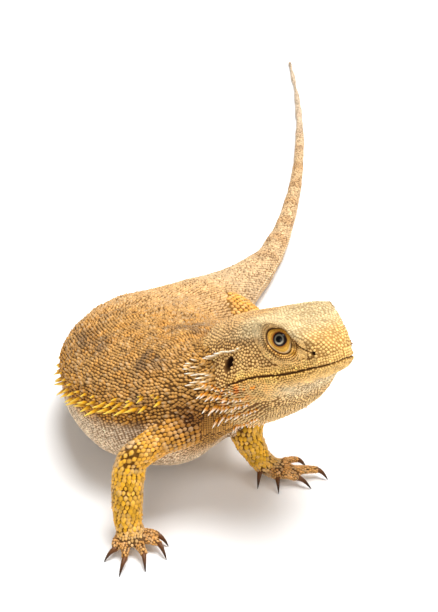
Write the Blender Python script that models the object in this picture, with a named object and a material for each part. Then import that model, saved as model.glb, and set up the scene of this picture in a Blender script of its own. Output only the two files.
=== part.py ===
"""A life-size still model of an adult central bearded dragon, raised on its front legs with its head turned.

The tables are in centimetres. The floor is z = 0, the tail runs towards +Y and the head looks towards +X and -Y.
"""
import math
import random

import bmesh
import bpy
import numpy as np
from mathutils import Matrix, Vector
from mathutils.bvhtree import BVHTree

CM = 0.01
# What is subtracted to bring the middle of the whole animal over the origin
MIDDLE = (-0.91, 2.12)
GAP = 0.03
VOXEL = 0.05
FLOOR = 0.012
SPINE_SUNK = 0.06
SPINE_ROOM = 0.12
LIMB_ROOM = 0.45

# Trunk and tail, from the neck back: centre x, y, z, half width, height above and depth below the centre
TRUNK = [
    (1.15, -10.05, 5.72, 1.60, 1.22, 1.10),
    (0.55, -10.35, 5.12, 1.80, 1.40, 1.30),
    (-0.20, -10.25, 4.38, 2.00, 1.62, 1.55),
    (-1.15, -9.50, 3.68, 2.85, 1.95, 2.55),
    (-2.05, -8.20, 3.02, 3.45, 1.95, 2.60),
    (-2.40, -6.60, 2.50, 3.55, 1.95, 2.45),
    (-2.05, -5.05, 2.10, 3.05, 1.82, 2.15),
    (-1.30, -3.65, 1.80, 2.20, 1.55, 1.90),
    (-0.55, -2.45, 1.55, 1.60, 1.38, 1.60),
    (0.25, -1.10, 1.25, 1.15, 1.10, 1.27),
    (1.00, 0.35, 0.95, 0.85, 0.84, 0.96),
    (1.90, 2.10, 0.66, 0.58, 0.58, 0.67),
    (2.72, 4.60, 0.50, 0.40, 0.43, 0.51),
    (3.25, 7.20, 0.38, 0.31, 0.34, 0.39),
    (3.62, 10.2, 0.29, 0.24, 0.26, 0.30),
    (3.78, 13.4, 0.22, 0.18, 0.19, 0.23),
    (3.74, 16.4, 0.17, 0.13, 0.14, 0.18),
    (3.50, 19.5, 0.13, 0.08, 0.09, 0.14),
]

# The head, measured from the snout tip: distance back, top, then half width and height of the
# ridge, the side, the lip, the jaw and the throat, and last the bottom
SNOUT = (4.08, -12.92, 8.24)
HEAD_YAW = 48.5
HEAD_PITCH = 26.0
HEAD_ROLL = -9.0
HEAD_LENGTH = 5.9
SNOUT_ROUND = 0.50
HEAD = [
    (0.0, 0.38, 0.44, 0.26, 0.52, 0.02, 0.55, -0.26, 0.50, -0.50, 0.30, -0.60, -0.64),
    (0.7, 0.70, 0.80, 0.54, 0.84, 0.10, 0.87, -0.34, 0.84, -0.62, 0.52, -0.82, -0.88),
    (1.3, 0.90, 1.12, 0.84, 1.06, 0.30, 1.12, -0.42, 1.14, -0.78, 0.74, -1.02, -1.12),
    (1.95, 0.98, 1.42, 1.14, 1.29, 0.52, 1.40, -0.46, 1.46, -0.98, 1.00, -1.40, -1.55),
    (2.7, 1.04, 1.42, 1.10, 1.52, 0.55, 1.68, -0.44, 1.82, -1.10, 1.32, -1.90, -2.12),
    (3.5, 1.06, 1.30, 1.00, 1.72, 0.40, 1.92, -0.38, 2.14, -1.14, 1.64, -2.25, -2.60),
    (4.2, 1.00, 1.22, 0.88, 1.78, 0.30, 2.00, -0.40, 2.36, -1.18, 1.84, -2.42, -2.86),
    (5.0, 0.92, 1.15, 0.74, 1.76, 0.20, 2.02, -0.42, 2.38, -1.20, 1.80, -2.32, -2.70),
    (5.9, 0.74, 1.05, 0.55, 1.50, 0.05, 1.75, -0.40, 1.95, -1.15, 1.45, -1.80, -2.05),
]
EYE = (-1.86, 0.95, 0.48)
EYE_RADIUS = 0.40
EAR = (-3.84, 1.90, -0.30)
NOSTRIL = (-0.62, 0.82, 0.07)
MOUTH = [
    (0.02, 0.0, -0.30), (-0.1, 0.36, -0.34), (-0.5, 0.76, -0.40), (-1.1, 1.08, -0.51), (-1.8, 1.40, -0.62),
    (-2.6, 1.70, -0.68), (-3.2, 1.90, -0.80), (-3.75, 2.12, -0.98),
]

# Each limb is two tubes and a palm: a point and the half width and half height there
LIMBS = {
    "arm_right_upper": [(-0.35, -10.7, 3.7, 0.80), (-1.25, -11.80, 3.80, 0.66), (-2.2, -12.25, 3.55, 0.54),
                        (-3.02, -12.62, 3.15, 0.52)],
    "arm_right_lower": [(-2.98, -12.55, 3.35, 0.48), (-3.15, -12.72, 2.6, 0.57), (-3.19, -13.0, 2.0, 0.57),
                        (-3.2, -13.27, 1.2, 0.52), (-3.17, -13.48, 0.62, 0.44)],
    "arm_left_upper": [(0.3, -9.2, 3.6, 0.80), (1.1, -9.0, 3.60, 0.72), (1.50, -9.40, 3.3, 0.60), (1.15, -9.92, 2.9, 0.56)],
    "arm_left_lower": [(1.20, -9.85, 3.05, 0.52), (1.00, -10.05, 2.5, 0.58), (1.05, -10.15, 1.9, 0.56),
                       (1.3, -10.1, 1.2, 0.47), (1.5, -10.02, 0.68, 0.40)],
    "leg_left_upper": [(-0.5, -2.7, 1.75, 1.05), (0.5, -3.2, 2.0, 0.88), (1.35, -3.85, 1.95, 0.68),
                       (1.75, -4.15, 1.75, 0.56)],
    "leg_left_lower": [(1.72, -4.12, 1.75, 0.55), (1.95, -3.75, 1.45, 0.60), (2.2, -3.2, 1.05, 0.48),
                       (2.35, -2.8, 0.62, 0.38)],
    "leg_right_upper": [(-0.9, -2.3, 1.4, 0.95), (-1.8, -1.95, 1.38, 0.80), (-2.8, -1.85, 1.36, 0.66),
                        (-3.55, -2.15, 1.36, 0.55)],
    "leg_right_lower": [(-3.50, -2.12, 1.38, 0.53), (-3.65, -1.85, 1.20, 0.57), (-3.62, -1.40, 0.92, 0.48),
                        (-3.50, -1.05, 0.60, 0.38)],
}
PALMS = {
    "hand_right": [(-3.19, -13.3, 0.85, 0.44, 0.42), (-3.12, -13.6, 0.48, 0.50, 0.42),
                   (-3.05, -13.95, 0.33, 0.52, 0.33)],
    "hand_left": [(1.47, -9.98, 0.85, 0.38, 0.38), (1.75, -10.00, 0.46, 0.38, 0.40), (2.15, -10.12, 0.33, 0.42, 0.33)],
    "foot_left": [(2.35, -2.75, 0.75, 0.38, 0.40), (2.5, -3.0, 0.42, 0.45, 0.40), (3.0, -3.65, 0.32, 0.55, 0.32)],
    "foot_right": [(-3.50, -1.05, 0.75, 0.38, 0.40), (-3.65, -1.25, 0.42, 0.45, 0.40), (-4.2, -1.85, 0.32, 0.55, 0.32)],
}
# Toes: where each starts in the palm, its knuckle, the root of its claw and the tip of the claw
TOES = {
    "hand_right": [
        ((-3.40, -13.70), (-3.60, -14.00, 0.42), (-3.63, -14.26, 0.30), (-4.01, -14.55)),
        ((-3.20, -13.85), (-3.27, -14.35, 0.45), (-3.26, -14.72, 0.30), (-3.45, -15.26)),
        ((-2.95, -13.85), (-2.76, -14.20, 0.45), (-2.60, -14.49, 0.30), (-2.55, -15.03)),
        ((-2.80, -13.70), (-2.40, -13.87, 0.45), (-2.05, -13.97, 0.32), (-1.83, -14.45)),
        ((-2.80, -13.50), (-2.42, -13.52, 0.45), (-2.10, -13.59, 0.34), (-1.78, -13.80)),
    ],
    "hand_left": [
        ((1.60, -10.00), (1.52, -10.20, 0.50), (1.49, -10.42, 0.36), (1.41, -10.88)),
        ((1.85, -10.20), (2.03, -10.40, 0.45), (2.15, -10.62, 0.30), (2.17, -11.12)),
        ((2.10, -10.30), (2.55, -10.52, 0.42), (2.92, -10.60, 0.30), (3.36, -10.88)),
        ((2.20, -10.20), (2.95, -10.25, 0.42), (3.66, -10.18, 0.32), (3.99, -10.40)),
        ((2.05, -10.00), (2.50, -9.80, 0.45), (2.91, -9.64, 0.34), (3.22, -9.74)),
    ],
    "foot_left": [
        ((2.70, -3.40), (2.62, -3.85, 0.38), (2.60, -4.20, 0.26), (2.62, -4.62)),
        ((2.90, -3.55), (3.02, -4.20, 0.40), (3.08, -4.75, 0.26), (3.14, -5.18)),
        ((3.10, -3.60), (3.45, -4.25, 0.40), (3.75, -4.75, 0.26), (3.95, -5.12)),
        ((3.20, -3.50), (3.70, -3.98, 0.40), (4.08, -4.46, 0.26), (4.36, -4.80)),
        ((3.05, -3.25), (3.55, -3.25, 0.38), (3.90, -3.35, 0.26), (4.28, -3.45)),
    ],
    "foot_right": [
        ((-3.85, -1.75), (-3.82, -2.25, 0.38), (-3.85, -2.60, 0.26), (-3.90, -3.02)),
        ((-4.10, -1.85), (-4.30, -2.50, 0.40), (-4.45, -3.00, 0.26), (-4.58, -3.42)),
        ((-4.30, -1.85), (-4.72, -2.40, 0.40), (-5.05, -2.85, 0.26), (-5.30, -3.18)),
        ((-4.40, -1.70), (-5.00, -2.05, 0.40), (-5.45, -2.40, 0.26), (-5.80, -2.62)),
        ((-4.15, -1.50), (-4.62, -1.40, 0.38), (-4.98, -1.42, 0.26), (-5.36, -1.48)),
    ],
}
TOE_RADIUS = {"hand": (0.20, 0.17, 0.13), "foot": (0.20, 0.16, 0.12)}
CLAW_RADIUS = 0.095
CLAW_SUNK = 0.06

# The saw cuts: what is in front of each cut, what is behind it, a point on it and the direction forward across it
CORE_CUTS = [
    ("head", (1.15, -9.65, 6.05), None),
    ("neck", (-0.05, -10.4, 4.40), (0.66, -0.3, 0.69)),
    ("torso", (-0.15, -1.8, 1.4), (-0.5, -0.87, 0.15)),
    ("tail_1", (1.45, 1.2, 0.8), (-0.45, -0.89, 0.1)),
    ("tail_2", (3.0, 5.9, 0.4), (-0.2, -0.98, 0.0)),
    ("tail_3", (3.7, 11.8, 0.3), (-0.08, -1.0, 0.0)),
]
CORE_LAST = "tail_4"
LIMB_CUTS = {
    "arm_right": [("upper_arm_right", (-3.06, -12.62, 3.05), (0.6, 0.1, 0.75)),
                  ("forearm_right", (-3.18, -13.36, 0.85), (0.0, 0.45, 0.89)), "hand_right"],
    "arm_left": [("upper_arm_left", (1.12, -9.95, 2.8), (0.2, 0.35, 0.9)),
                 ("forearm_left", (1.47, -10.03, 0.85), (-0.3, -0.1, 0.95)), "hand_left"],
    "leg_left": [("thigh_left", (1.74, -4.14, 1.75), (-0.95, -0.28, 0.1)),
                 ("shank_left", (2.35, -2.8, 0.64), (0.0, 0.0, 1.0)), "foot_left"],
    "leg_right": [("thigh_right", (-3.52, -2.14, 1.38), (0.73, -0.69, 0.0)),
                  ("shank_right", (-3.5, -1.1, 0.64), (0.0, 0.0, 1.0)), "foot_right"],
}
# How many triangles each piece may spend
TRIANGLES = {"head": 2300, "neck": 420, "torso": 1200, "tail": 190, "upper": 240, "forearm": 280, "hand": 620,
             "thigh": 220, "shank": 200, "foot": 500}


def unit(v):
    v = np.asarray(v, float)
    return v / np.linalg.norm(v, axis=-1, keepdims=True)


def smooth_curve(knots, values, at):
    """A natural cubic spline through the rows of values."""
    t = np.asarray(knots, float)
    y = np.asarray(values, float)
    n = len(t)
    h = np.diff(t)
    matrix = np.eye(n)
    right = np.zeros_like(y)
    for i in range(1, n - 1):
        matrix[i, i - 1] = h[i - 1]
        matrix[i, i] = 2 * (h[i - 1] + h[i])
        matrix[i, i + 1] = h[i]
        right[i] = 6 * ((y[i + 1] - y[i]) / h[i] - (y[i] - y[i - 1]) / h[i - 1])
    m = np.linalg.solve(matrix, right)
    i = np.clip(np.searchsorted(t, at, side="right") - 1, 0, n - 2)
    a = ((t[i + 1] - at) / h[i])[:, None]
    b = 1 - a
    return a * y[i] + b * y[i + 1] + ((a**3 - a) * m[i] + (b**3 - b) * m[i + 1]) * (h[i] ** 2)[:, None] / 6


def steady_curve(knots, values, at):
    """A curve through the rows of values that never swings past them."""
    t = np.asarray(knots, float)
    y = np.asarray(values, float)
    h = np.diff(t)[:, None]
    d = np.diff(y, axis=0) / h
    m = np.zeros_like(y)
    m[0] = d[0]
    m[-1] = d[-1]
    before = d[:-1]
    after = d[1:]
    same = before * after > 0
    m[1:-1][same] = (2 * before * after)[same] / (before + after)[same]
    i = np.clip(np.searchsorted(t, at, side="right") - 1, 0, len(t) - 2)
    step = h[i]
    s = (at - t[i])[:, None] / step
    near = y[i] * (1 + 2 * s) * (1 - s) ** 2 + m[i] * step * s * (1 - s) ** 2
    return near + y[i + 1] * s * s * (3 - 2 * s) + m[i + 1] * step * s * s * (s - 1)


def distances(points):
    return np.concatenate([[0], np.cumsum(np.linalg.norm(np.diff(points, axis=0), axis=1))])


def trunk_grid(rows, columns):
    """Rings of points round the trunk and the tail."""
    table = np.array(TRUNK)
    knots = distances(table[:, :3])
    s = np.linspace(0, knots[-1], rows)
    centre = smooth_curve(knots, table[:, :3], s)
    wide, high, deep = steady_curve(knots, table[:, 3:], s).T
    along = unit(np.gradient(centre, axis=0))
    side = unit(np.cross(along, (0, 0, 1)))
    up = np.cross(side, along)
    a = np.linspace(0, 2 * math.pi, columns, endpoint=False)
    c = np.cos(a)
    v = np.sin(a)
    power = np.where(v >= 0, 2 / 2.2, 2 / 2.7)
    c = np.sign(c) * abs(c) ** power
    v = np.sign(v) * abs(v) ** power
    tall = np.where(v >= 0, high[:, None], deep[:, None])
    grid = centre[:, None] + side[:, None] * (wide[:, None] * c)[..., None] + up[:, None] * (tall * v)[..., None]
    grid[..., 2] = np.maximum(grid[..., 2], 0)
    return grid


def tube_grid(stations, rows, columns, across=(0, 0, 1)):
    """Rings of points round a limb, from rows of x, y, z, half width and, if it differs, half height."""
    table = np.array(stations)
    if table.shape[1] == 4:
        table = np.column_stack([table, table[:, 3]])
    knots = distances(table[:, :3])
    s = np.linspace(0, knots[-1], rows)
    centre = smooth_curve(knots, table[:, :3], s)
    wide, high = steady_curve(knots, table[:, 3:], s).T
    along = unit(np.gradient(centre, axis=0))
    side = unit(np.cross(along, across))
    up = np.cross(side, along)
    a = np.linspace(0, 2 * math.pi, columns, endpoint=False)
    grid = (centre[:, None] + side[:, None] * (wide[:, None] * np.cos(a))[..., None]
            + up[:, None] * (high[:, None] * np.sin(a))[..., None])
    grid[..., 2] = np.maximum(grid[..., 2], 0)
    return grid


def head_axes():
    """The head's forward, left and up directions."""
    yaw, pitch, roll = np.radians((HEAD_YAW, HEAD_PITCH, HEAD_ROLL))
    ahead = np.array([math.cos(pitch) * math.cos(yaw), -math.cos(pitch) * math.sin(yaw), math.sin(pitch)])
    left = np.array([math.sin(yaw), math.cos(yaw), 0])
    up = np.cross(ahead, left)
    return (ahead, math.cos(roll) * left + math.sin(roll) * up, math.cos(roll) * up - math.sin(roll) * left)


def head_place(local):
    """From the head's own forward, left and up to the animal's frame."""
    return np.array(SNOUT) + np.asarray(local, float) @ np.array(head_axes())


def head_section(back, half):
    """One closed outline of the head, from the top down the right side and up the left."""
    table = np.array(HEAD)
    v = steady_curve(table[:, 0], table[:, 1:], np.array([back]))[0]
    right = np.array([(0, v[0]), (-v[1], v[2]), (-v[3], v[4]), (-v[5], v[6]), (-v[7], v[8]), (-v[9], v[10]), (0, v[11])])
    loop = np.vstack([right, (right * (-1, 1))[-2:0:-1]])
    padded = np.vstack([loop[-3:], loop, loop[:4]])
    knots = np.concatenate([[0], np.cumsum(np.linalg.norm(np.diff(padded, axis=0), axis=1) ** 0.8)])
    steps = 3 + np.linspace(0, 1, 2 * half, endpoint=False) * len(loop)
    return smooth_curve(knots, padded, np.interp(steps, np.arange(len(knots)), knots))


def head_grid(rows, half):
    """Rings of points round the head, in its own frame."""
    s = np.linspace(0, 1, rows)
    grid = []
    for back in HEAD_LENGTH * (0.75 * s**1.5 + 0.25 * s):
        shrink = 1.0
        if back < SNOUT_ROUND:
            shrink = max(1 - (1 - back / SNOUT_ROUND) ** 2, 0.0) ** 0.45
        middle = np.array([0, -0.12])
        section = middle + (head_section(back, half) - middle) * max(shrink, 0.02)
        grid.append(np.column_stack([np.full(len(section), -back), section]))
    return np.array(grid)


def add_grid(bm, grid):
    """A closed skin over rings of points, with flat ends."""
    rings = [[bm.verts.new(Vector(p) * CM) for p in ring] for ring in grid]
    n = len(rings[0])
    for first, second in zip(rings, rings[1:]):
        for j in range(n):
            bm.faces.new((first[j], first[(j + 1) % n], second[(j + 1) % n], second[j]))
    bm.faces.new(rings[0][::-1])
    bm.faces.new(rings[-1])


def object_from(bm, name):
    bmesh.ops.recalc_face_normals(bm, faces=bm.faces[:])
    mesh = bpy.data.meshes.new(name)
    bm.to_mesh(mesh)
    bm.free()
    obj = bpy.data.objects.new(name, mesh)
    bpy.context.scene.collection.objects.link(obj)
    return obj


def apply_modifiers(obj):
    """Replaces the object's mesh with what its modifiers make of it."""
    graph = bpy.context.evaluated_depsgraph_get()
    mesh = bpy.data.meshes.new_from_object(obj.evaluated_get(graph))
    obj.modifiers.clear()
    old = obj.data
    obj.data = mesh
    bpy.data.meshes.remove(old)


def add_toes(bm, foot):
    radii = TOE_RADIUS[foot.split("_")[0]]
    for start, knuckle, root, _ in TOES[foot]:
        points = [start + (0.34,), knuckle, root]
        add_grid(bm, tube_grid([p + (r,) for p, r in zip(points, radii)], 9, 12))


def add_ball(bm, centre, radii, turn=None, rings=8, segments=16):
    matrix = Matrix.Translation(Vector(centre) * CM)
    if turn is not None:
        matrix = matrix @ turn
    matrix = matrix @ Matrix.Diagonal((radii[0] * CM, radii[1] * CM, radii[2] * CM, 1))
    bmesh.ops.create_uvsphere(bm, u_segments=segments, v_segments=rings, radius=1, matrix=matrix)


def head_turn():
    ahead, left, up = head_axes()
    return Matrix(((ahead[0], left[0], up[0], 0), (ahead[1], left[1], up[1], 0), (ahead[2], left[2], up[2], 0),
                   (0, 0, 0, 1)))


def fuse(bm, name):
    """Joins the overlapping closed surfaces of a mesh into one."""
    obj = object_from(bm, name)
    remesh = obj.modifiers.new("fuse", "REMESH")
    remesh.mode = "VOXEL"
    remesh.voxel_size = VOXEL * CM
    remesh.adaptivity = 0
    apply_modifiers(obj)
    return obj


def soften(obj):
    """Rounds the crease between the head and the neck and the edge along the trunk, and leaves the face alone."""
    group = obj.vertex_groups.new(name="soft")
    ahead = Vector(head_axes()[0])
    for v in obj.data.vertices:
        p = v.co / CM
        face = (p - Vector(SNOUT)).dot(ahead)
        weight = min(max((-face - 4.4) / 1.2, 0), 1) * min(max((p.z - 0.5) / 0.5, 0), 1)
        if weight > 0:
            group.add([v.index], weight, "REPLACE")
    smooth = obj.modifiers.new("soft", "SMOOTH")
    smooth.vertex_group = "soft"
    smooth.factor = 0.8
    smooth.iterations = 60
    apply_modifiers(obj)
    obj.vertex_groups.clear()


def saw(bm, point, ahead):
    """Splits a closed surface with a flat cut GAP wide, and returns the two closed halves."""
    halves = []
    ahead = Vector(ahead).normalized()
    for side in (1, -1):
        half = bm.copy()
        place = (Vector(point) + ahead * side * GAP / 2) * CM
        geometry = half.verts[:] + half.edges[:] + half.faces[:]
        cut = bmesh.ops.bisect_plane(half, geom=geometry, plane_co=place, plane_no=ahead * side, clear_inner=True,
                                     dist=1e-7)
        edges = [e for e in cut["geom_cut"] if isinstance(e, bmesh.types.BMEdge)]
        bmesh.ops.triangle_fill(half, edges=edges, use_beauty=True, use_dissolve=False)
        halves.append(half)
    bm.free()
    return halves


def keep_largest(bm):
    """Leaves only the closed surface with the most faces."""
    left = set(bm.verts)
    groups = []
    while left:
        stack = [left.pop()]
        group = list(stack)
        while stack:
            for edge in stack.pop().link_edges:
                for other in edge.verts:
                    if other in left:
                        left.remove(other)
                        stack.append(other)
                        group.append(other)
        groups.append(group)
    groups.sort(key=len)
    for group in groups[:-1]:
        bmesh.ops.delete(bm, geom=group, context="VERTS")


def thin_out(obj, triangles):
    decimate = obj.modifiers.new("thin", "DECIMATE")
    decimate.ratio = min(triangles / sum(len(p.vertices) - 2 for p in obj.data.polygons), 1.0)
    decimate.use_collapse_triangulate = True
    apply_modifiers(obj)


def part(obj, cuts, last):
    """Saws an object into named pieces from front to back and thins each out."""
    bm = bmesh.new()
    bm.from_mesh(obj.data)
    bpy.data.objects.remove(obj)
    pieces = {}
    for name, point, ahead in cuts:
        front, bm = saw(bm, point, head_axes()[0] if ahead is None else ahead)
        pieces[name] = front
    pieces[last] = bm
    objects = {}
    for name, piece in pieces.items():
        keep_largest(piece)
        objects[name] = object_from(piece, name)
        thin_out(objects[name], TRIANGLES[name.split("_")[0]])
    return objects


def make_core():
    """The head, the neck, the trunk and the tail."""
    bm = bmesh.new()
    add_grid(bm, trunk_grid(150, 72))
    add_grid(bm, head_place(head_grid(90, 60)))
    core = fuse(bm, "core")
    soften(core)
    return core


def make_limb(limb, foot):
    bm = bmesh.new()
    add_grid(bm, tube_grid(LIMBS[limb + "_upper"], 30, 28))
    add_grid(bm, tube_grid(LIMBS[limb + "_lower"], 30, 28))
    add_grid(bm, tube_grid(PALMS[foot], 16, 24))
    add_toes(bm, foot)
    return fuse(bm, limb)


def swollen_copy(obj, by):
    """A copy of an object with its surface pushed out."""
    bm = bmesh.new()
    bm.from_mesh(obj.data)
    bm.normal_update()
    moves = [v.normal * by * CM for v in bm.verts]
    for v, move in zip(bm.verts, moves):
        v.co += move
    return object_from(bm, "swollen")


def add_mouth_cutter(bm, side):
    """The thin wedge that opens the mouth line on one side of the head."""
    path = head_place([(f, l * side, u) for f, l, u in MOUTH])
    out = [np.array(head_axes()[1]) * side * (1 if l > 0.5 else l) + np.array(head_axes()[0]) * (0.5 if l < 0.5 else 0.1)
           for _, l, _ in MOUTH]
    up = np.array(head_axes()[2])
    rings = []
    for i, (p, o) in enumerate(zip(path, out)):
        o = unit(o)
        tall = 0.035
        rings.append([p + o * 0.14 + up * tall * 1.5, p - o * 0.07, p + o * 0.14 - up * tall * 1.5])
    add_grid(bm, rings)


def make_face_cutters():
    cutters = []
    lean = head_turn() @ Matrix.Rotation(math.radians(25), 4, "Y")
    kinds = [(EYE, (EYE_RADIUS + GAP,) * 3, head_turn(), 10, 20), (EAR, (0.17, 0.24, 0.26), lean, 6, 12),
             (NOSTRIL, (0.09, 0.09, 0.06), head_turn(), 6, 10)]
    for side in (1, -1):
        for (f, l, u), radii, turn, rings, segments in kinds:
            bm = bmesh.new()
            add_ball(bm, head_place((f, l * side, u)), radii, turn, rings, segments)
            cutters.append(object_from(bm, "face_cutter"))
        bm = bmesh.new()
        add_mouth_cutter(bm, side)
        cutters.append(object_from(bm, "mouth_cutter"))
    return cutters


def boolean(obj, others, operation):
    """Joins the other objects to this one or cuts them out of it, all in one step."""
    group = bpy.data.collections.new(operation)
    bpy.context.scene.collection.children.link(group)
    for other in others:
        bpy.context.scene.collection.objects.unlink(other)
        group.objects.link(other)
    modifier = obj.modifiers.new(operation, "BOOLEAN")
    modifier.operation = operation
    modifier.solver = "EXACT"
    modifier.operand_type = "COLLECTION"
    modifier.collection = group
    apply_modifiers(obj)
    for other in others:
        bpy.data.objects.remove(other)
    bpy.data.collections.remove(group)
    bm = bmesh.new()
    bm.from_mesh(obj.data)
    keep_largest(bm)
    bm.to_mesh(obj.data)
    bm.free()


def cone(place, aim, length, radius):
    """One spine: a four-sided cone with its root a little under the skin."""
    bm = bmesh.new()
    aim = Vector(aim).normalized()
    turn = aim.to_track_quat("Z", "Y").to_matrix().to_4x4()
    middle = (Vector(place) + aim * (length / 2 - SPINE_SUNK)) * CM
    bmesh.ops.create_cone(bm, cap_ends=True, segments=4, radius1=radius * CM, radius2=0, depth=length * CM,
                          matrix=Matrix.Translation(middle) @ turn)
    return object_from(bm, "spine")


def clear_of_cuts(name, place):
    """Tells whether a place on the skin lies well inside a piece, away from its saw cuts."""
    names = [cut[0] for cut in CORE_CUTS]
    number = names.index(name)
    for _, point, ahead in CORE_CUTS[max(number - 1, 0):number + 1]:
        ahead = unit(head_axes()[0] if ahead is None else ahead)
        front = float(np.dot(np.array(place) / CM - point, ahead))
        if (front if point == CORE_CUTS[number][1] else -front) < SPINE_ROOM:
            return False
    return True


def spines_on(tree, name, wanted):
    """Grows spines on the skin of one piece, at the places nearest to the wanted points.

    wanted: rows of (point, how far along the skin's normal and along a direction, direction, length, radius).
    """
    spines = []
    for point, (out, lean), direction, length, radius in wanted:
        place, normal, _, _ = tree.find_nearest(Vector(point) * CM)
        if clear_of_cuts(name, place):
            aim = normal * out + Vector(direction).normalized() * lean
            spines.append(cone(place / CM, aim, length, radius))
    return spines


def near_a_limb(point):
    """Tells whether a spine at this point could touch a limb."""
    for stations in LIMBS.values():
        table = np.array(stations)
        knots = distances(table[:, :3])
        line = smooth_curve(knots, table, np.linspace(0, knots[-1], 24))
        if (np.linalg.norm(line[:, :3] - point, axis=1) - line[:, 3]).min() < LIMB_ROOM:
            return True
    return False


def fringe_spines():
    """The rows of long spines along both flanks, which climb towards the shoulder."""
    table = np.array(TRUNK)
    knots = distances(table[:, :3])
    wanted = []
    chance = random.Random(3)
    for row, (count, lift, size) in enumerate(((27, -0.12, 1.0), (22, 0.20, 0.75))):
        s = np.linspace(knots[2] + 0.7, knots[7] + 0.1, count) + 0.12 * row
        centre = smooth_curve(knots, table[:, :3], s)
        wide = steady_curve(knots, table[:, 3:], s)[:, 0]
        along = unit(np.gradient(centre, axis=0))
        side = unit(np.cross(along, (0, 0, 1)))
        for i in range(count):
            climb = 1.20 * max(1 - i / (0.45 * count), 0)
            for hand in (1, -1):
                point = centre[i] + side[i] * hand * wide[i] * 1.05 + np.array((0, 0, lift + climb))
                length = (0.60 if 1 < i < 0.5 * count else 0.36) * size * chance.uniform(0.85, 1.1)
                back = along[i] + np.array((0, 0, chance.uniform(-0.8, -0.3)))
                if not near_a_limb(point + unit(back + side[i] * hand) * length * 0.7):
                    wanted.append((point, (0.9, 1.0), back, length, 0.085))
    return wanted


def head_spines():
    """The spines of the beard, behind the jaw and ear and across the nape, on both sides."""
    chance = random.Random(5)
    ahead, left, up = head_axes()
    wanted = []
    rows = [((3.1, 4.75, 7), (1.95, 2.35), (-1.28, -1.05), 0.30), ((2.9, 4.7, 7), (1.70, 2.2), (-1.62, -1.60), 0.34),
            ((2.7, 4.6, 7), (1.40, 1.9), (-1.95, -2.10), 0.34), ((2.9, 4.4, 5), (0.90, 1.2), (-2.20, -2.60), 0.28)]
    for (first, last, count), (w1, w2), (u1, u2), size in rows:
        for i in range(count):
            t = i / (count - 1)
            for side in (1, -1):
                point = head_place((-(first + (last - first) * t), side * (w1 + (w2 - w1) * t), u1 + (u2 - u1) * t))
                aim = -ahead * 1.0 - up * 0.45 + left * side * 0.3
                wanted.append((point, (0.9, 1.0), aim, size * (0.75 + 0.45 * t) * chance.uniform(0.9, 1.1), 0.07))
    edge = [(4.55, 2.25, -0.62, 0.34), (4.78, 2.30, -0.78, 0.40), (4.80, 2.36, -1.32, 0.46), (4.82, 2.15, -1.85, 0.46),
            (4.80, 1.70, -2.35, 0.42), (4.55, 2.30, -0.95, 0.36)]
    ridge = [(3.45, 1.80, 0.22, 0.22), (3.72, 1.85, 0.16, 0.24), (4.00, 1.88, 0.10, 0.26), (4.27, 1.93, 0.04, 0.28),
             (4.52, 1.98, -0.04, 0.32), (4.72, 2.02, -0.14, 0.34)]
    for back, w, u, length in edge + ridge:
        for side in (1, -1):
            aim = -ahead - up * (0.3 if u < -0.5 else 0.0) + left * side * 0.3
            wanted.append((head_place((-back, side * w, u)), (0.7, 1.0), aim, length * 1.1, 0.07))
    return wanted


def neck_spines():
    """The few spines on each side of the neck, behind the beard."""
    ahead, left, up = head_axes()
    wanted = []
    for back, w, u in ((5.25, 2.1, -0.55), (5.40, 2.1, -0.95), (5.30, 2.1, -1.40), (5.70, 1.9, -0.75)):
        for side in (1, -1):
            aim = -ahead - up * 0.3 + left * side * 0.4
            wanted.append((head_place((-back, side * w, u)), (0.8, 1.0), aim, 0.36, 0.075))
    return wanted


def tail_spines():
    """The small spines along both sides of the tail's root."""
    table = np.array(TRUNK)
    knots = distances(table[:, :3])
    s = np.linspace(knots[9] - 0.2, knots[11] - 0.2, 11)
    centre = smooth_curve(knots, table[:, :3], s)
    wide = steady_curve(knots, table[:, 3:], s)[:, 0]
    along = unit(np.gradient(centre, axis=0))
    side = unit(np.cross(along, (0, 0, 1)))
    wanted = []
    for i in range(len(s)):
        for hand in (1, -1):
            point = centre[i] + side[i] * hand * wide[i] + np.array((0, 0, 0.1))
            wanted.append((point, (0.8, 1.0), along[i], 0.17, 0.05))
    return wanted


def floor_cutter():
    bm = bmesh.new()
    bmesh.ops.create_cube(bm, size=1, matrix=Matrix.Translation((0, 0.03, (FLOOR - 1) * CM))
                          @ Matrix.Diagonal((0.6, 0.9, 2 * CM, 1)))
    return object_from(bm, "floor_cutter")


def make_claws(name):
    """The curved claws of one hand or foot, each with its root a little way into the end of the toe."""
    claws = []
    for number, (_, knuckle, root, tip) in enumerate(TOES[name], 1):
        root = np.array(root)
        start = root - unit(root - np.array(knuckle)) * CLAW_SUNK
        end = np.array(tip + (0.03,))
        bend = (start + end) / 2 + np.array([0, 0, 0.20])
        t = np.linspace(0, 1, 6)[:, None]
        path = (1 - t) ** 2 * start + 2 * t * (1 - t) * bend + t**2 * end
        radius = CLAW_RADIUS * (1 - t[:, 0]) ** 0.75 + 0.008
        bm = bmesh.new()
        grid = tube_grid(np.column_stack([path, radius, radius * 1.15]), 6, 7)
        add_grid(bm, np.maximum(grid, (-99, -99, FLOOR)))
        claws.append(object_from(bm, f"claw_{name}_{number}"))
    return claws


def make_eyes():
    for side, name in ((1, "eye_left"), (-1, "eye_right")):
        bm = bmesh.new()
        f, l, u = EYE
        add_ball(bm, head_place((f, l * side, u)), (EYE_RADIUS,) * 3, head_turn(), 9, 16)
        object_from(bm, name)


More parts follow.
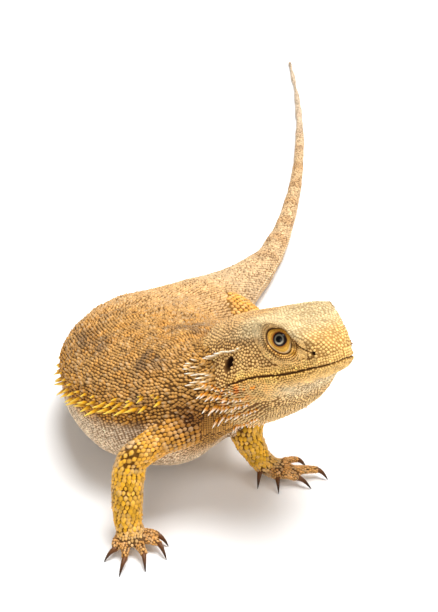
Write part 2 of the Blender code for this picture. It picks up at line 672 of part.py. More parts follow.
def finish():
    """Moves everything over the origin and gives each object its material."""
    colours = {"claw": (0.06, 0.04, 0.03, 1), "eye": (0.30, 0.18, 0.03, 1), "skin": (0.72, 0.50, 0.22, 1)}
    for obj in bpy.data.objects:
        kind = obj.name.split("_")[0]
        kind = kind if kind in colours else "skin"
        material = bpy.data.materials.new(obj.name)
        material.use_nodes = True
        shader = material.node_tree.nodes["Principled BSDF"]
        shader.inputs["Base Color"].default_value = colours[kind]
        shader.inputs["Roughness"].default_value = 0.25 if kind == "eye" else 0.6
        obj.data.materials.clear()
        obj.data.materials.append(material)
        obj.data.transform(Matrix.Translation((-MIDDLE[0] * CM, -MIDDLE[1] * CM, -FLOOR * CM)))
        for polygon in obj.data.polygons:
            polygon.use_smooth = True


for leftover in list(bpy.data.objects):
    bpy.data.objects.remove(leftover)
core = make_core()
skin_tree = BVHTree.FromObject(core, bpy.context.evaluated_depsgraph_get())
pieces = part(core, CORE_CUTS, CORE_LAST)
boolean(pieces["head"], make_face_cutters(), "DIFFERENCE")
swollen = {name: swollen_copy(pieces[name], GAP * 1.2) for name in ("torso", "neck")}
spines = {"head": head_spines(), "neck": neck_spines(), "torso": fringe_spines(), "tail_1": tail_spines()}
for name, wanted in spines.items():
    boolean(pieces[name], spines_on(skin_tree, name, wanted), "UNION")
for limb, (upper, lower, foot) in LIMB_CUTS.items():
    joints = part(make_limb(limb, foot), (upper, lower), foot)
    for name in (upper[0], lower[0]):
        for touching in swollen.values():
            boolean(joints[name], [swollen_copy(touching, 0)], "DIFFERENCE")
    boolean(joints[foot], [swollen_copy(claw, GAP) for claw in make_claws(foot)], "DIFFERENCE")
    pieces.update(joints)
for piece in pieces.values():
    if min((v.co.z for v in piece.data.vertices)) < FLOOR * CM:
        boolean(piece, [floor_cutter()], "DIFFERENCE")
for touching in swollen.values():
    bpy.data.objects.remove(touching)
make_eyes()
finish()
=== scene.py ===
import math
import random

import bmesh
import bpy
import numpy as np
from mathutils import Matrix, Vector, noise
from mathutils.bvhtree import BVHTree
from mathutils.kdtree import KDTree


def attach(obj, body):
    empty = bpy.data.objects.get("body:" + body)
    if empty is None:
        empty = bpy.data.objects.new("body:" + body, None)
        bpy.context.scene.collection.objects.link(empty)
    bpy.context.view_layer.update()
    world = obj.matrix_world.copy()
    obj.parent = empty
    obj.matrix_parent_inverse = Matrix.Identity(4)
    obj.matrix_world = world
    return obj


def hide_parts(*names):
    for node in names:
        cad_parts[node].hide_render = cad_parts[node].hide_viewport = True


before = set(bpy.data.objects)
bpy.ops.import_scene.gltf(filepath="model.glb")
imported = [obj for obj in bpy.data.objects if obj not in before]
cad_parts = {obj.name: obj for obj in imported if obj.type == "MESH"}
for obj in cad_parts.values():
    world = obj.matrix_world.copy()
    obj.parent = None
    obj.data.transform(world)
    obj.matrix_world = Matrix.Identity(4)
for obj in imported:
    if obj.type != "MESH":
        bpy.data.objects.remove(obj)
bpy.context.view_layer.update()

# The body of a life-size central bearded dragon: a flat trunk with its tail, a wide head and four limbs
# with palms and toes, of muscle on bone under one closed skin. Each is laid as rings along a bent centre
# line, and all are fused and smoothed together. Sizes are in centimetres on the animal's own floor.
CM = 0.01
# Where the frame's origin is on that floor
MIDDLE = np.array((-0.91, 2.12, 0.012))
# Each station's place, half width, height over it and depth under it
TRUNK = [
    (1.15, -10.05, 5.72, 1.60, 1.22, 1.10), (0.55, -10.35, 5.12, 1.80, 1.40, 1.30),
    (-0.20, -10.25, 4.38, 2.00, 1.62, 1.55), (-1.15, -9.50, 3.68, 2.85, 1.95, 2.55),
    (-2.05, -8.20, 3.02, 3.45, 1.95, 2.60), (-2.40, -6.60, 2.50, 3.55, 1.95, 2.45),
    (-2.05, -5.05, 2.10, 3.05, 1.82, 2.15), (-1.30, -3.65, 1.80, 2.20, 1.55, 1.90),
    (-0.55, -2.45, 1.55, 1.60, 1.38, 1.60), (0.25, -1.10, 1.25, 1.15, 1.10, 1.27),
    (1.00, 0.35, 0.95, 0.85, 0.84, 0.96), (1.90, 2.10, 0.66, 0.58, 0.58, 0.67),
    (2.72, 4.60, 0.50, 0.40, 0.43, 0.51), (3.25, 7.20, 0.38, 0.31, 0.34, 0.39),
    (3.62, 10.2, 0.29, 0.24, 0.26, 0.30), (3.78, 13.4, 0.22, 0.18, 0.19, 0.23),
    (3.74, 16.4, 0.17, 0.13, 0.14, 0.18), (3.50, 19.5, 0.13, 0.08, 0.09, 0.14),
]
TRUNK_POWERS = (2.2, 2.7)
SNOUT = np.array((4.08, -12.92, 8.24))
HEAD_YAW = 48.5
HEAD_PITCH = 26.0
HEAD_ROLL = -9.0
HEAD_LENGTH = 5.9
SNOUT_ROUND = 0.50
SNOUT_MIDDLE = np.array((0, -0.12))
# Distance behind the snout tip, top, then half width and height of the ridge, the side, the lip,
# the jaw and the throat, and last the bottom
HEAD = [
    (0.0, 0.38, 0.44, 0.26, 0.52, 0.02, 0.55, -0.26, 0.50, -0.50, 0.30, -0.60, -0.64),
    (0.7, 0.70, 0.80, 0.54, 0.84, 0.10, 0.87, -0.34, 0.84, -0.62, 0.52, -0.82, -0.88),
    (1.3, 0.90, 1.12, 0.84, 1.06, 0.30, 1.12, -0.42, 1.14, -0.78, 0.74, -1.02, -1.12),
    (1.95, 0.98, 1.42, 1.14, 1.29, 0.52, 1.40, -0.46, 1.46, -0.98, 1.00, -1.40, -1.55),
    (2.7, 1.04, 1.42, 1.10, 1.52, 0.55, 1.68, -0.44, 1.82, -1.10, 1.32, -1.90, -2.12),
    (3.5, 1.06, 1.30, 1.00, 1.72, 0.40, 1.92, -0.38, 2.14, -1.14, 1.64, -2.25, -2.60),
    (4.2, 1.00, 1.22, 0.88, 1.78, 0.30, 2.00, -0.40, 2.36, -1.18, 1.84, -2.42, -2.86),
    (5.0, 0.92, 1.15, 0.74, 1.76, 0.20, 2.02, -0.42, 2.38, -1.20, 1.80, -2.32, -2.70),
    (5.9, 0.74, 1.05, 0.55, 1.50, 0.05, 1.75, -0.40, 1.95, -1.15, 1.45, -1.80, -2.05),
]
# Each station's place and radius, or half width and half height
LIMBS = {
    "arm_right_upper": [(-0.35, -10.7, 3.7, 0.80), (-1.25, -11.80, 3.80, 0.66), (-2.2, -12.25, 3.55, 0.54),
                        (-3.02, -12.62, 3.15, 0.52)],
    "arm_right_lower": [(-2.98, -12.55, 3.35, 0.48), (-3.15, -12.72, 2.6, 0.57), (-3.19, -13.0, 2.0, 0.57),
                        (-3.2, -13.27, 1.2, 0.52), (-3.17, -13.48, 0.62, 0.44)],
    "arm_left_upper": [(0.3, -9.2, 3.6, 0.80), (1.1, -9.0, 3.60, 0.72), (1.50, -9.40, 3.3, 0.60),
                       (1.15, -9.92, 2.9, 0.56)],
    "arm_left_lower": [(1.20, -9.85, 3.05, 0.52), (1.00, -10.05, 2.5, 0.58), (1.05, -10.15, 1.9, 0.56),
                       (1.3, -10.1, 1.2, 0.47), (1.5, -10.02, 0.68, 0.40)],
    "leg_left_upper": [(-0.5, -2.7, 1.75, 1.05), (0.5, -3.2, 2.0, 0.88), (1.35, -3.85, 1.95, 0.68),
                       (1.75, -4.15, 1.75, 0.56)],
    "leg_left_lower": [(1.72, -4.12, 1.75, 0.55), (1.95, -3.75, 1.45, 0.60), (2.2, -3.2, 1.05, 0.48),
                       (2.35, -2.8, 0.62, 0.38)],
    "leg_right_upper": [(-0.9, -2.3, 1.4, 0.95), (-1.8, -1.95, 1.38, 0.80), (-2.8, -1.85, 1.36, 0.66),
                        (-3.55, -2.15, 1.36, 0.55)],
    "leg_right_lower": [(-3.50, -2.12, 1.38, 0.53), (-3.65, -1.85, 1.20, 0.57), (-3.62, -1.40, 0.92, 0.48),
                        (-3.50, -1.05, 0.60, 0.38)],
}
PALMS = {
    "hand_right": [(-3.19, -13.3, 0.85, 0.44, 0.42), (-3.12, -13.6, 0.48, 0.50, 0.42),
                   (-3.05, -13.95, 0.33, 0.52, 0.33)],
    "hand_left": [(1.47, -9.98, 0.85, 0.38, 0.38), (1.75, -10.00, 0.46, 0.38, 0.40),
                  (2.15, -10.12, 0.33, 0.42, 0.33)],
    "foot_left": [(2.35, -2.75, 0.75, 0.38, 0.40), (2.5, -3.0, 0.42, 0.45, 0.40),
                  (3.0, -3.65, 0.32, 0.55, 0.32)],
    "foot_right": [(-3.50, -1.05, 0.75, 0.38, 0.40), (-3.65, -1.25, 0.42, 0.45, 0.40),
                   (-4.2, -1.85, 0.32, 0.55, 0.32)],
}
# Toes: where each starts in the palm, its knuckle, the root of its claw and the tip of the claw
TOES = {
    "hand_right": [
        ((-3.40, -13.70), (-3.60, -14.00, 0.42), (-3.63, -14.26, 0.30), (-4.01, -14.55)),
        ((-3.20, -13.85), (-3.27, -14.35, 0.45), (-3.26, -14.72, 0.30), (-3.45, -15.26)),
        ((-2.95, -13.85), (-2.76, -14.20, 0.45), (-2.60, -14.49, 0.30), (-2.55, -15.03)),
        ((-2.80, -13.70), (-2.40, -13.87, 0.45), (-2.05, -13.97, 0.32), (-1.83, -14.45)),
        ((-2.80, -13.50), (-2.42, -13.52, 0.45), (-2.10, -13.59, 0.34), (-1.78, -13.80)),
    ],
    "hand_left": [
        ((1.60, -10.00), (1.52, -10.20, 0.50), (1.49, -10.42, 0.36), (1.41, -10.88)),
        ((1.85, -10.20), (2.03, -10.40, 0.45), (2.15, -10.62, 0.30), (2.17, -11.12)),
        ((2.10, -10.30), (2.55, -10.52, 0.42), (2.92, -10.60, 0.30), (3.36, -10.88)),
        ((2.20, -10.20), (2.95, -10.25, 0.42), (3.66, -10.18, 0.32), (3.99, -10.40)),
        ((2.05, -10.00), (2.50, -9.80, 0.45), (2.91, -9.64, 0.34), (3.22, -9.74)),
    ],
    "foot_left": [
        ((2.70, -3.40), (2.62, -3.85, 0.38), (2.60, -4.20, 0.26), (2.62, -4.62)),
        ((2.90, -3.55), (3.02, -4.20, 0.40), (3.08, -4.75, 0.26), (3.14, -5.18)),
        ((3.10, -3.60), (3.45, -4.25, 0.40), (3.75, -4.75, 0.26), (3.95, -5.12)),
        ((3.20, -3.50), (3.70, -3.98, 0.40), (4.08, -4.46, 0.26), (4.36, -4.80)),
        ((3.05, -3.25), (3.55, -3.25, 0.38), (3.90, -3.35, 0.26), (4.28, -3.45)),
    ],
    "foot_right": [
        ((-3.85, -1.75), (-3.82, -2.25, 0.38), (-3.85, -2.60, 0.26), (-3.90, -3.02)),
        ((-4.10, -1.85), (-4.30, -2.50, 0.40), (-4.45, -3.00, 0.26), (-4.58, -3.42)),
        ((-4.30, -1.85), (-4.72, -2.40, 0.40), (-5.05, -2.85, 0.26), (-5.30, -3.18)),
        ((-4.40, -1.70), (-5.00, -2.05, 0.40), (-5.45, -2.40, 0.26), (-5.80, -2.62)),
        ((-4.15, -1.50), (-4.62, -1.40, 0.38), (-4.98, -1.42, 0.26), (-5.36, -1.48)),
    ],
}
TOE_START = 0.34
TOE_RADIUS = {"hand": (0.20, 0.17, 0.13), "foot": (0.20, 0.16, 0.12)}
STATIONS = {"trunk": TRUNK, **LIMBS, **PALMS}
for foot, toes in TOES.items():
    for number, (start, knuckle, root, _) in enumerate(toes, 1):
        places = zip(((*start, TOE_START), knuckle, root), TOE_RADIUS[foot.split("_")[0]])
        STATIONS[f"{foot}_{number}"] = [(*place, radius) for place, radius in places]
# Rings along each kind of part, and points round a ring
RINGS = {"trunk": (150, 72), "head": (90, 60), "limb": (30, 28), "palm": (16, 24), "toe": (9, 12)}
VOXEL = 0.085
# The trunk and limbs are smoothed where they are this far behind the snout and over the floor
SOFT_BEHIND = (4.4, 5.6)
SOFT_OVER = (0.5, 1.0)
SMOOTHING = (("soft", 0.8, 24), ("", 0.5, 3))


def unit(v):
    v = np.asarray(v, float)
    return v / np.maximum(np.linalg.norm(v, axis=-1, keepdims=True), 1e-12)


def distances(points):
    return np.concatenate([[0], np.cumsum(np.linalg.norm(np.diff(points, axis=0), axis=1))])


def smooth_curve(knots, values, at):
    """A natural cubic spline through the rows of values."""
    t = np.asarray(knots, float)
    y = np.asarray(values, float)
    n = len(t)
    h = np.diff(t)
    matrix = np.eye(n)
    right = np.zeros_like(y)
    for i in range(1, n - 1):
        matrix[i, i - 1] = h[i - 1]
        matrix[i, i] = 2 * (h[i - 1] + h[i])
        matrix[i, i + 1] = h[i]
        right[i] = 6 * ((y[i + 1] - y[i]) / h[i] - (y[i] - y[i - 1]) / h[i - 1])
    m = np.linalg.solve(matrix, right)
    i = np.clip(np.searchsorted(t, at, side="right") - 1, 0, n - 2)
    a = ((t[i + 1] - at) / h[i])[:, None]
    b = 1 - a
    return a * y[i] + b * y[i + 1] + ((a**3 - a) * m[i] + (b**3 - b) * m[i + 1]) * (h[i] ** 2)[:, None] / 6


def steady_curve(knots, values, at):
    """A curve through the rows of values that never swings past them."""
    t = np.asarray(knots, float)
    y = np.asarray(values, float)
    h = np.diff(t)[:, None]
    d = np.diff(y, axis=0) / h
    m = np.zeros_like(y)
    m[0] = d[0]
    m[-1] = d[-1]
    before = d[:-1]
    after = d[1:]
    same = before * after > 0
    m[1:-1][same] = (2 * before * after)[same] / (before + after)[same]
    i = np.clip(np.searchsorted(t, at, side="right") - 1, 0, len(t) - 2)
    step = h[i]
    s = (at - t[i])[:, None] / step
    near = y[i] * (1 + 2 * s) * (1 - s) ** 2 + m[i] * step * s * (1 - s) ** 2
    return near + y[i + 1] * s * s * (3 - 2 * s) + m[i + 1] * step * s * s * (s - 1)


def centre_line(stations, s=None, count=60):
    """Where a limb or the trunk runs: its places, directions, and half width, height and depth."""
    rows = [r if len(r) == 6 else (*r, r[-1]) if len(r) == 5 else (*r, r[3], r[3]) for r in stations]
    table = np.array(rows)
    knots = distances(table[:, :3])
    s = np.linspace(0, knots[-1], count) if s is None else np.asarray(s, float)
    near = np.clip(s[:, None] + (-0.02, 0.02), 0, knots[-1])
    ahead, behind = (smooth_curve(knots, table[:, :3], near[:, i]) for i in (1, 0))
    along = unit(ahead - behind)
    side = unit(np.cross(along, (0, 0, 1)))
    return {"at": s, "length": knots[-1], "centre": smooth_curve(knots, table[:, :3], s), "along": along,
            "side": side, "up": np.cross(side, along), "size": steady_curve(knots, table[:, 3:], s)}


def rings_round(line, angles, powers=(2.0, 2.0)):
    """Rings of points round a centre line, squarer for powers over 2, and flat on the floor."""
    c = np.cos(angles)
    v = np.sin(angles)
    power = np.where(v >= 0, 2 / powers[0], 2 / powers[1])
    c = np.sign(c) * abs(c) ** power
    v = np.sign(v) * abs(v) ** power
    wide, high, deep = line["size"].T[:, :, None]
    tall = np.where(v >= 0, high, deep)
    grid = (line["centre"][:, None] + line["side"][:, None] * (wide * c)[..., None]
            + line["up"][:, None] * (tall * v)[..., None])
    grid[..., 2] = np.maximum(grid[..., 2], 0)
    return grid


def head_axes():
    """The head's forward, left and up directions."""
    yaw, pitch, roll = np.radians((HEAD_YAW, HEAD_PITCH, HEAD_ROLL))
    ahead = np.array([math.cos(pitch) * math.cos(yaw), -math.cos(pitch) * math.sin(yaw), math.sin(pitch)])
    left = np.array([math.sin(yaw), math.cos(yaw), 0])
    up = np.cross(ahead, left)
    rolled = math.cos(roll) * left + math.sin(roll) * up
    return np.array((ahead, rolled, math.cos(roll) * up - math.sin(roll) * left))


AXES = head_axes()


def on_head(local):
    """From the head's own forward, left and up to the animal's frame."""
    return SNOUT + np.asarray(local, float) @ AXES


def in_head(points):
    """From the animal's frame to the head's own forward, left and up."""
    return (np.asarray(points, float) - SNOUT) @ AXES.T


def on_left(points):
    """In the head's frame, with its right half laid on the left one."""
    q = in_head(points)
    q[:, 1] = abs(q[:, 1])
    return q


def head_rings(rows, half):
    """Rings of points round the head, from the snout tip back."""
    table = np.array(HEAD)
    s = np.linspace(0, 1, rows)
    grid = []
    for back in HEAD_LENGTH * (0.75 * s**1.5 + 0.25 * s):
        v = steady_curve(table[:, 0], table[:, 1:], np.array([back]))[0]
        right = np.array([(0, v[0])] + [(-v[i], v[i + 1]) for i in range(1, 11, 2)] + [(0, v[11])])
        loop = np.vstack([right, (right * (-1, 1))[-2:0:-1]])
        padded = np.vstack([loop[-3:], loop, loop[:4]])
        knots = np.concatenate([[0], np.cumsum(np.linalg.norm(np.diff(padded, axis=0), axis=1) ** 0.8)])
        steps = 3 + np.linspace(0, 1, 2 * half, endpoint=False) * len(loop)
        section = smooth_curve(knots, padded, np.interp(steps, np.arange(len(knots)), knots))
        shrink = 1.0
        if back < SNOUT_ROUND:
            shrink = max(max(1 - (1 - back / SNOUT_ROUND) ** 2, 0.0) ** 0.45, 0.02)
        section = SNOUT_MIDDLE + (section - SNOUT_MIDDLE) * shrink
        grid.append(np.column_stack([np.full(len(section), -back), section]))
    return on_head(np.array(grid))


def to_world(points):
    """From centimetres on the animal's own floor to the frame's metres."""
    return (np.asarray(points, float) - MIDDLE) * CM


def to_animal(points):
    """From the frame's metres to centimetres on the animal's own floor."""
    return np.asarray(points, float) / CM + MIDDLE


def loft(bm, rings):
    """A closed body over rings of points: a grid round them, joined at its seam and filled at its ends."""
    rings = to_world(rings)
    rings = np.concatenate([rings, rings[:, :1]], axis=1)
    rows, columns = rings.shape[:2]
    made = bmesh.ops.create_grid(bm, x_segments=columns - 1, y_segments=rows - 1, size=1)["verts"]
    for vert, point in zip(made, rings.reshape(-1, 3)):
        vert.co = point
    bmesh.ops.remove_doubles(bm, verts=made, dist=1e-7)
    edges = [e for e in bm.edges if e.is_boundary]
    bmesh.ops.holes_fill(bm, edges=edges, sides=0)


def add_object(name, data):
    obj = bpy.data.objects.new(name, data)
    bpy.context.scene.collection.objects.link(obj)
    return obj


def object_from(bm, name):
    bmesh.ops.recalc_face_normals(bm, faces=bm.faces[:])
    mesh = bpy.data.meshes.new(name)
    bm.to_mesh(mesh)
    bm.free()
    return add_object(name, mesh)


def apply_modifiers(obj):
    mesh = bpy.data.meshes.new_from_object(obj.evaluated_get(bpy.context.evaluated_depsgraph_get()))
    obj.modifiers.clear()
    old = obj.data
    obj.data = mesh
    bpy.data.meshes.remove(old)


def rows_of(items, field):
    """A place or direction of each of a mesh's points or faces, as rows of three."""
    rows = np.empty(len(items) * 3, np.float32)
    items.foreach_get(field, rows)
    return rows.reshape(-1, 3).astype(float)


def set_coordinates(mesh, points):
    mesh.vertices.foreach_set("co", np.asarray(points, np.float32).reshape(-1))
    mesh.update()


def step(low, high, x):
    """0 below low, 1 above high, and smooth between."""
    t = np.clip((np.asarray(x, float) - low) / (high - low), 0, 1)
    return t * t * (3 - 2 * t)


def round_angles(count):
    """Evenly spaced angles round a ring."""
    return np.linspace(0, 2 * math.pi, count, endpoint=False)


def loft_part(bm, name, kind, powers=(2.0, 2.0)):
    rows, columns = RINGS[kind]
    loft(bm, rings_round(centre_line(STATIONS[name], count=rows), round_angles(columns), powers))


def make_body():
    bm = bmesh.new()
    loft_part(bm, "trunk", "trunk", TRUNK_POWERS)
    loft(bm, head_rings(*RINGS["head"]))
    for name in LIMBS:
        loft_part(bm, name, "limb")
    for foot in PALMS:
        loft_part(bm, foot, "palm")
        for number in range(1, len(TOES[foot]) + 1):
            loft_part(bm, f"{foot}_{number}", "toe")
    obj = object_from(bm, "skin")
    remesh = obj.modifiers.new("fuse", "REMESH")
    remesh.mode = "VOXEL"
    remesh.voxel_size = VOXEL * CM
    apply_modifiers(obj)
    points = to_animal(rows_of(obj.data.vertices, "co"))
    soft = step(*SOFT_BEHIND, -in_head(points)[:, 0]) * step(*SOFT_OVER, points[:, 2])
    group = obj.vertex_groups.new(name="soft")
    for i in np.nonzero(soft > 0)[0]:
        group.add([int(i)], float(soft[i]), "REPLACE")
    for name, factor, rounds in SMOOTHING:
        smooth = obj.modifiers.new("smooth", "SMOOTH")
        smooth.vertex_group = name
        smooth.factor = factor
        smooth.iterations = rounds
    apply_modifiers(obj)
    obj.vertex_groups.clear()
    return obj


skin = make_body()

# The relief of the face: bare lids round each eye, lips, nostrils, ears, the ridge from brow to snout and
# the creases, with the body's folds, all of the one soft skin. The skin's mesh is made finer there, and
# then its points are pushed in or out.
EYE = np.array((-1.86, 0.95, 0.48))
EYE_RADIUS = 0.40
EYE_AIM = unit((0.46, 0.80, 0.30))
EYE_AHEAD = unit(np.array((1, 0, 0)) - EYE_AIM * EYE_AIM[0])
EYE_UP = np.cross(EYE_AHEAD, EYE_AIM)
# How far the lids stand along the eye's axis at each distance from it
LIDS = [(0.0, 0.12), (0.215, 0.22), (0.242, 0.335), (0.275, 0.345), (0.33, 0.318), (0.40, 0.28),
        (0.45, 0.19), (0.495, 0.265), (0.56, 0.25), (0.63, 0.195), (0.68, 0.23), (0.95, 0.18)]
LID_EDGE = 0.242
LID_LINE = 0.45
LID_FOLD = 0.63
LID_SLANT = math.radians(34)
LID_SHAPE = (1.16, 0.75)
LID_SHIFT = (-0.05, -0.07)
EAR = np.array((-3.84, 1.90, -0.30))
EAR_LEAN = math.radians(25)
EAR_SIZE = (0.18, 0.32)
NOSTRIL = np.array((-0.60, 0.75, 0.06))
MOUTH = np.array([
    (0.02, 0.0, -0.30), (-0.1, 0.36, -0.34), (-0.5, 0.76, -0.40), (-1.1, 1.08, -0.51), (-1.8, 1.40, -0.62),
    (-2.6, 1.70, -0.68), (-3.2, 1.90, -0.80), (-3.75, 2.12, -0.98),
])
CANTHUS = np.array([(-1.25, 0.95, 0.36), (-0.95, 0.88, 0.20), (-0.66, 0.78, 0.10)])
UNDER_EYE = np.array([
    (-2.40, 1.48, 0.70), (-2.26, 1.46, 0.42), (-1.95, 1.40, 0.05), (-1.65, 1.27, -0.14),
    (-1.35, 1.10, -0.19), (-1.0, 0.93, -0.10), (-0.6, 0.80, -0.06),
])
EYE_CORNER = EYE + EYE_AIM * 0.22 + EYE_AHEAD * 0.52 - EYE_UP * 0.40
BROW = np.array([
    (-2.55, 1.48, 1.06), (-2.0, 1.42, 1.12), (-1.5, 1.22, 0.96), (-1.0, 0.97, 0.70), (-0.5, 0.72, 0.44),
])
HOLLOW = np.array([(-1.55, 1.20, 0.52), (-1.15, 1.08, 0.34), (-0.75, 0.95, 0.18)])
TEMPLE = np.array([(-2.5, 1.55, 0.55), (-3.1, 1.72, 0.48), (-3.8, 1.82, 0.42), (-4.6, 1.85, 0.40)])
ARMPIT = np.array((-0.95, -12.0, 4.45))
HIP_FOLD = np.array([(-0.75, -4.95, 3.2), (-1.35, -4.3, 3.25), (-2.1, -3.6, 3.1)])
# How high the skin stands along each line of the face, how wide the mark is, and how far beside the line
MOUTH_MARKS = ((-0.09, 0.032, 0.0), (0.03, 0.045, 0.095))
FOLD_MARKS = ((-0.05, 0.045, 0.0), (0.04, 0.05, 0.11))
CREASE_MARKS = ((-0.06, 0.035, 0.0),)
RIDGE_MARKS = ((0.03, 0.12, 0.0),)
DIP_MARKS = ((-0.04, 0.12, 0.0),)
EAR_DEPTH = 0.26
NOSTRIL_DEPTH = 0.13
HIP_FOLD_DEPTH = 0.14
HIP_FOLD_WIDTH = 0.16
COAT_DEPTH = 0.03
# Soft ridges slant across the back: how they are turned, and how fine they are each way
RIDGE_TURN = np.array([(0.50, -0.87, 0), (0.87, 0.50, 0), (0, 0, 1)]).T
RIDGE_FINENESS = (2.4, 0.55, 1.6)


def to_line(points, path):
    """The distance from each point to a bent line."""
    best = np.full(len(points), np.inf)
    for a, b in zip(path, path[1:]):
        t = np.clip((points - a) @ (b - a) / ((b - a) @ (b - a)), 0, 1)
        best = np.minimum(best, np.linalg.norm(points - a - t[:, None] * (b - a), axis=1))
    return best


def hump(x, width):
    """1 at 0, falling smoothly to nothing a few widths away."""
    return np.exp(-(np.asarray(x) / width) ** 2)


def round_the_eye(q):
    """Distance from the eye's axis, round at the ball and almond-shaped at the lids, and place along it."""
    d = q - EYE
    front = d @ EYE_AHEAD
    up = d @ EYE_UP
    ball = np.hypot(front, up)
    share = step(0.20, 0.44, ball)
    front = front - LID_SHIFT[0] * share
    up = up - LID_SHIFT[1] * share
    longest = (front * math.cos(LID_SLANT) - up * math.sin(LID_SLANT)) / LID_SHAPE[0]
    shortest = (front * math.sin(LID_SLANT) + up * math.cos(LID_SLANT)) / LID_SHAPE[1]
    return ball * (1 - share) + np.hypot(longest, shortest) * share, d @ EYE_AIM


def round_the_ear(q):
    """0 in the ear's middle and 1 on its rim, in the slant of the ear."""
    d = q - EAR
    across = d[:, 0] * math.cos(EAR_LEAN) - d[:, 2] * math.sin(EAR_LEAN)
    tall = d[:, 2] * math.cos(EAR_LEAN) + d[:, 0] * math.sin(EAR_LEAN)
    return np.where(abs(d[:, 1]) < 0.6, np.hypot(across / EAR_SIZE[0], tall / EAR_SIZE[1]), np.inf)


def snapped(obj, path, count):
    """A path on the left of the head, laid on its surface."""
    surface = BVHTree.FromObject(obj, bpy.context.evaluated_depsgraph_get())
    points = smooth_curve(distances(path), path, np.linspace(0, distances(path)[-1], count))
    found = [surface.find_nearest(Vector(to_world(on_head(point))))[0] for point in points]
    return in_head(to_animal(np.array(found)))


def refine_head(obj):
    """Splits the faces near the eyes, mouth, ears and nostrils twice."""
    bm = bmesh.new()
    bm.from_mesh(obj.data)
    for reach in (1.0, 0.8):
        q = on_left(to_animal(np.array([v.co for v in bm.verts])))
        near = np.linalg.norm(q - EYE - EYE_AIM * 0.3, axis=1) < 0.75 * reach
        near |= (to_line(q, LIPS) < 0.16 * reach) | (to_line(q, CREASE) < 0.1 * reach)
        near |= (round_the_ear(q) < 1.6 * reach) | (np.linalg.norm(q - NOSTRIL, axis=1) < 0.2 * reach)
        edges = [e for e in bm.edges if near[e.verts[0].index] and near[e.verts[1].index]]
        bmesh.ops.subdivide_edges(bm, edges=edges, cuts=1, use_grid_fill=True)
        bm.verts.index_update()
    bmesh.ops.triangulate(bm, faces=[f for f in bm.faces if len(f.verts) > 4])
    bm.to_mesh(obj.data)
    bm.free()


def shape_skin(obj):
    """Draws the skin in by the coat's depth, and moves its points to the lids, lips, ears and folds."""
    world = rows_of(obj.data.vertices, "co")
    out = rows_of(obj.data.vertices, "normal")
    world -= out * COAT_DEPTH * CM
    p = to_animal(world)
    local = in_head(p)
    local_out = out @ AXES.T
    lids = np.array(LIDS)
    for side in (1, -1):
        q = local * (1, side, 1)
        n = local_out * (1, side, 1)
        mine = (q[:, 1] > -0.02) & (q[:, 0] > -5.2) & (q[:, 0] < 0.2)
        r, h = round_the_eye(q)
        brow = step(-0.10, 0.25, (q - EYE) @ EYE_UP)
        weight = (1 - step(0, 1, (r - 0.60 + 0.12 * brow) / (0.32 - 0.15 * brow))) * (h > -0.15) * mine
        move = EYE_AIM * ((np.interp(r, lids[:, 0], lids[:, 1]) - h) * weight)[:, None]
        ear = round_the_ear(q)
        rise = -EAR_DEPTH * (1 - step(0.62, 1.0, ear)) + 0.03 * hump(ear - 1.2, 0.15)
        nostril = np.linalg.norm(q - NOSTRIL, axis=1)
        rise += -NOSTRIL_DEPTH * hump(nostril, 0.06) + 0.035 * hump(nostril - 0.13, 0.04)
        for line, marks in ((LIPS, MOUTH_MARKS), (FOLD, FOLD_MARKS), (CREASE, CREASE_MARKS),
                            (RIDGE, RIDGE_MARKS), (DIP, DIP_MARKS)):
            away = to_line(q, line)
            for height, width, beside in marks:
                rise += height * hump(away - beside, width)
        local += (move + n * (rise * mine)[:, None]) * (1, side, 1)
    p = on_head(local)
    rough = np.array([noise.fractal(Vector(v) * 0.9, 0.6, 2.0, 2) for v in p])
    body = step(5.0, 6.2, -local[:, 0])
    stretched = p @ RIDGE_TURN * RIDGE_FINENESS
    ridges = np.array([noise.fractal(Vector(v), 0.6, 2.0, 2) for v in stretched])
    dip = (0.04 * rough + 0.06 * ridges * step(-0.1, 0.4, out[:, 2]) * step(-1.5, -4.5, p[:, 1])) * body
    dip -= HIP_FOLD_DEPTH * hump(to_line(p, HIP_FOLD), HIP_FOLD_WIDTH)
    p += out * dip[:, None]
    set_coordinates(obj.data, to_world(p))


LIPS = snapped(skin, MOUTH, 40)
CREASE = snapped(skin, CANTHUS, 20)
FOLD = snapped(skin, UNDER_EYE, 24)
RIDGE = snapped(skin, BROW, 20)
DIP = snapped(skin, HOLLOW, 12)
STRIPE = snapped(skin, TEMPLE, 16)
refine_head(skin)
plain_face = BVHTree.FromObject(skin, bpy.context.evaluated_depsgraph_get())
shape_skin(skin)


def before_relief(p):
    """Where each point was on the head before its relief, with both sides laid on the left."""
    found = [plain_face.find_nearest(Vector(point))[0] for point in to_world(p)]
    return on_left(to_animal(np.array(found)))


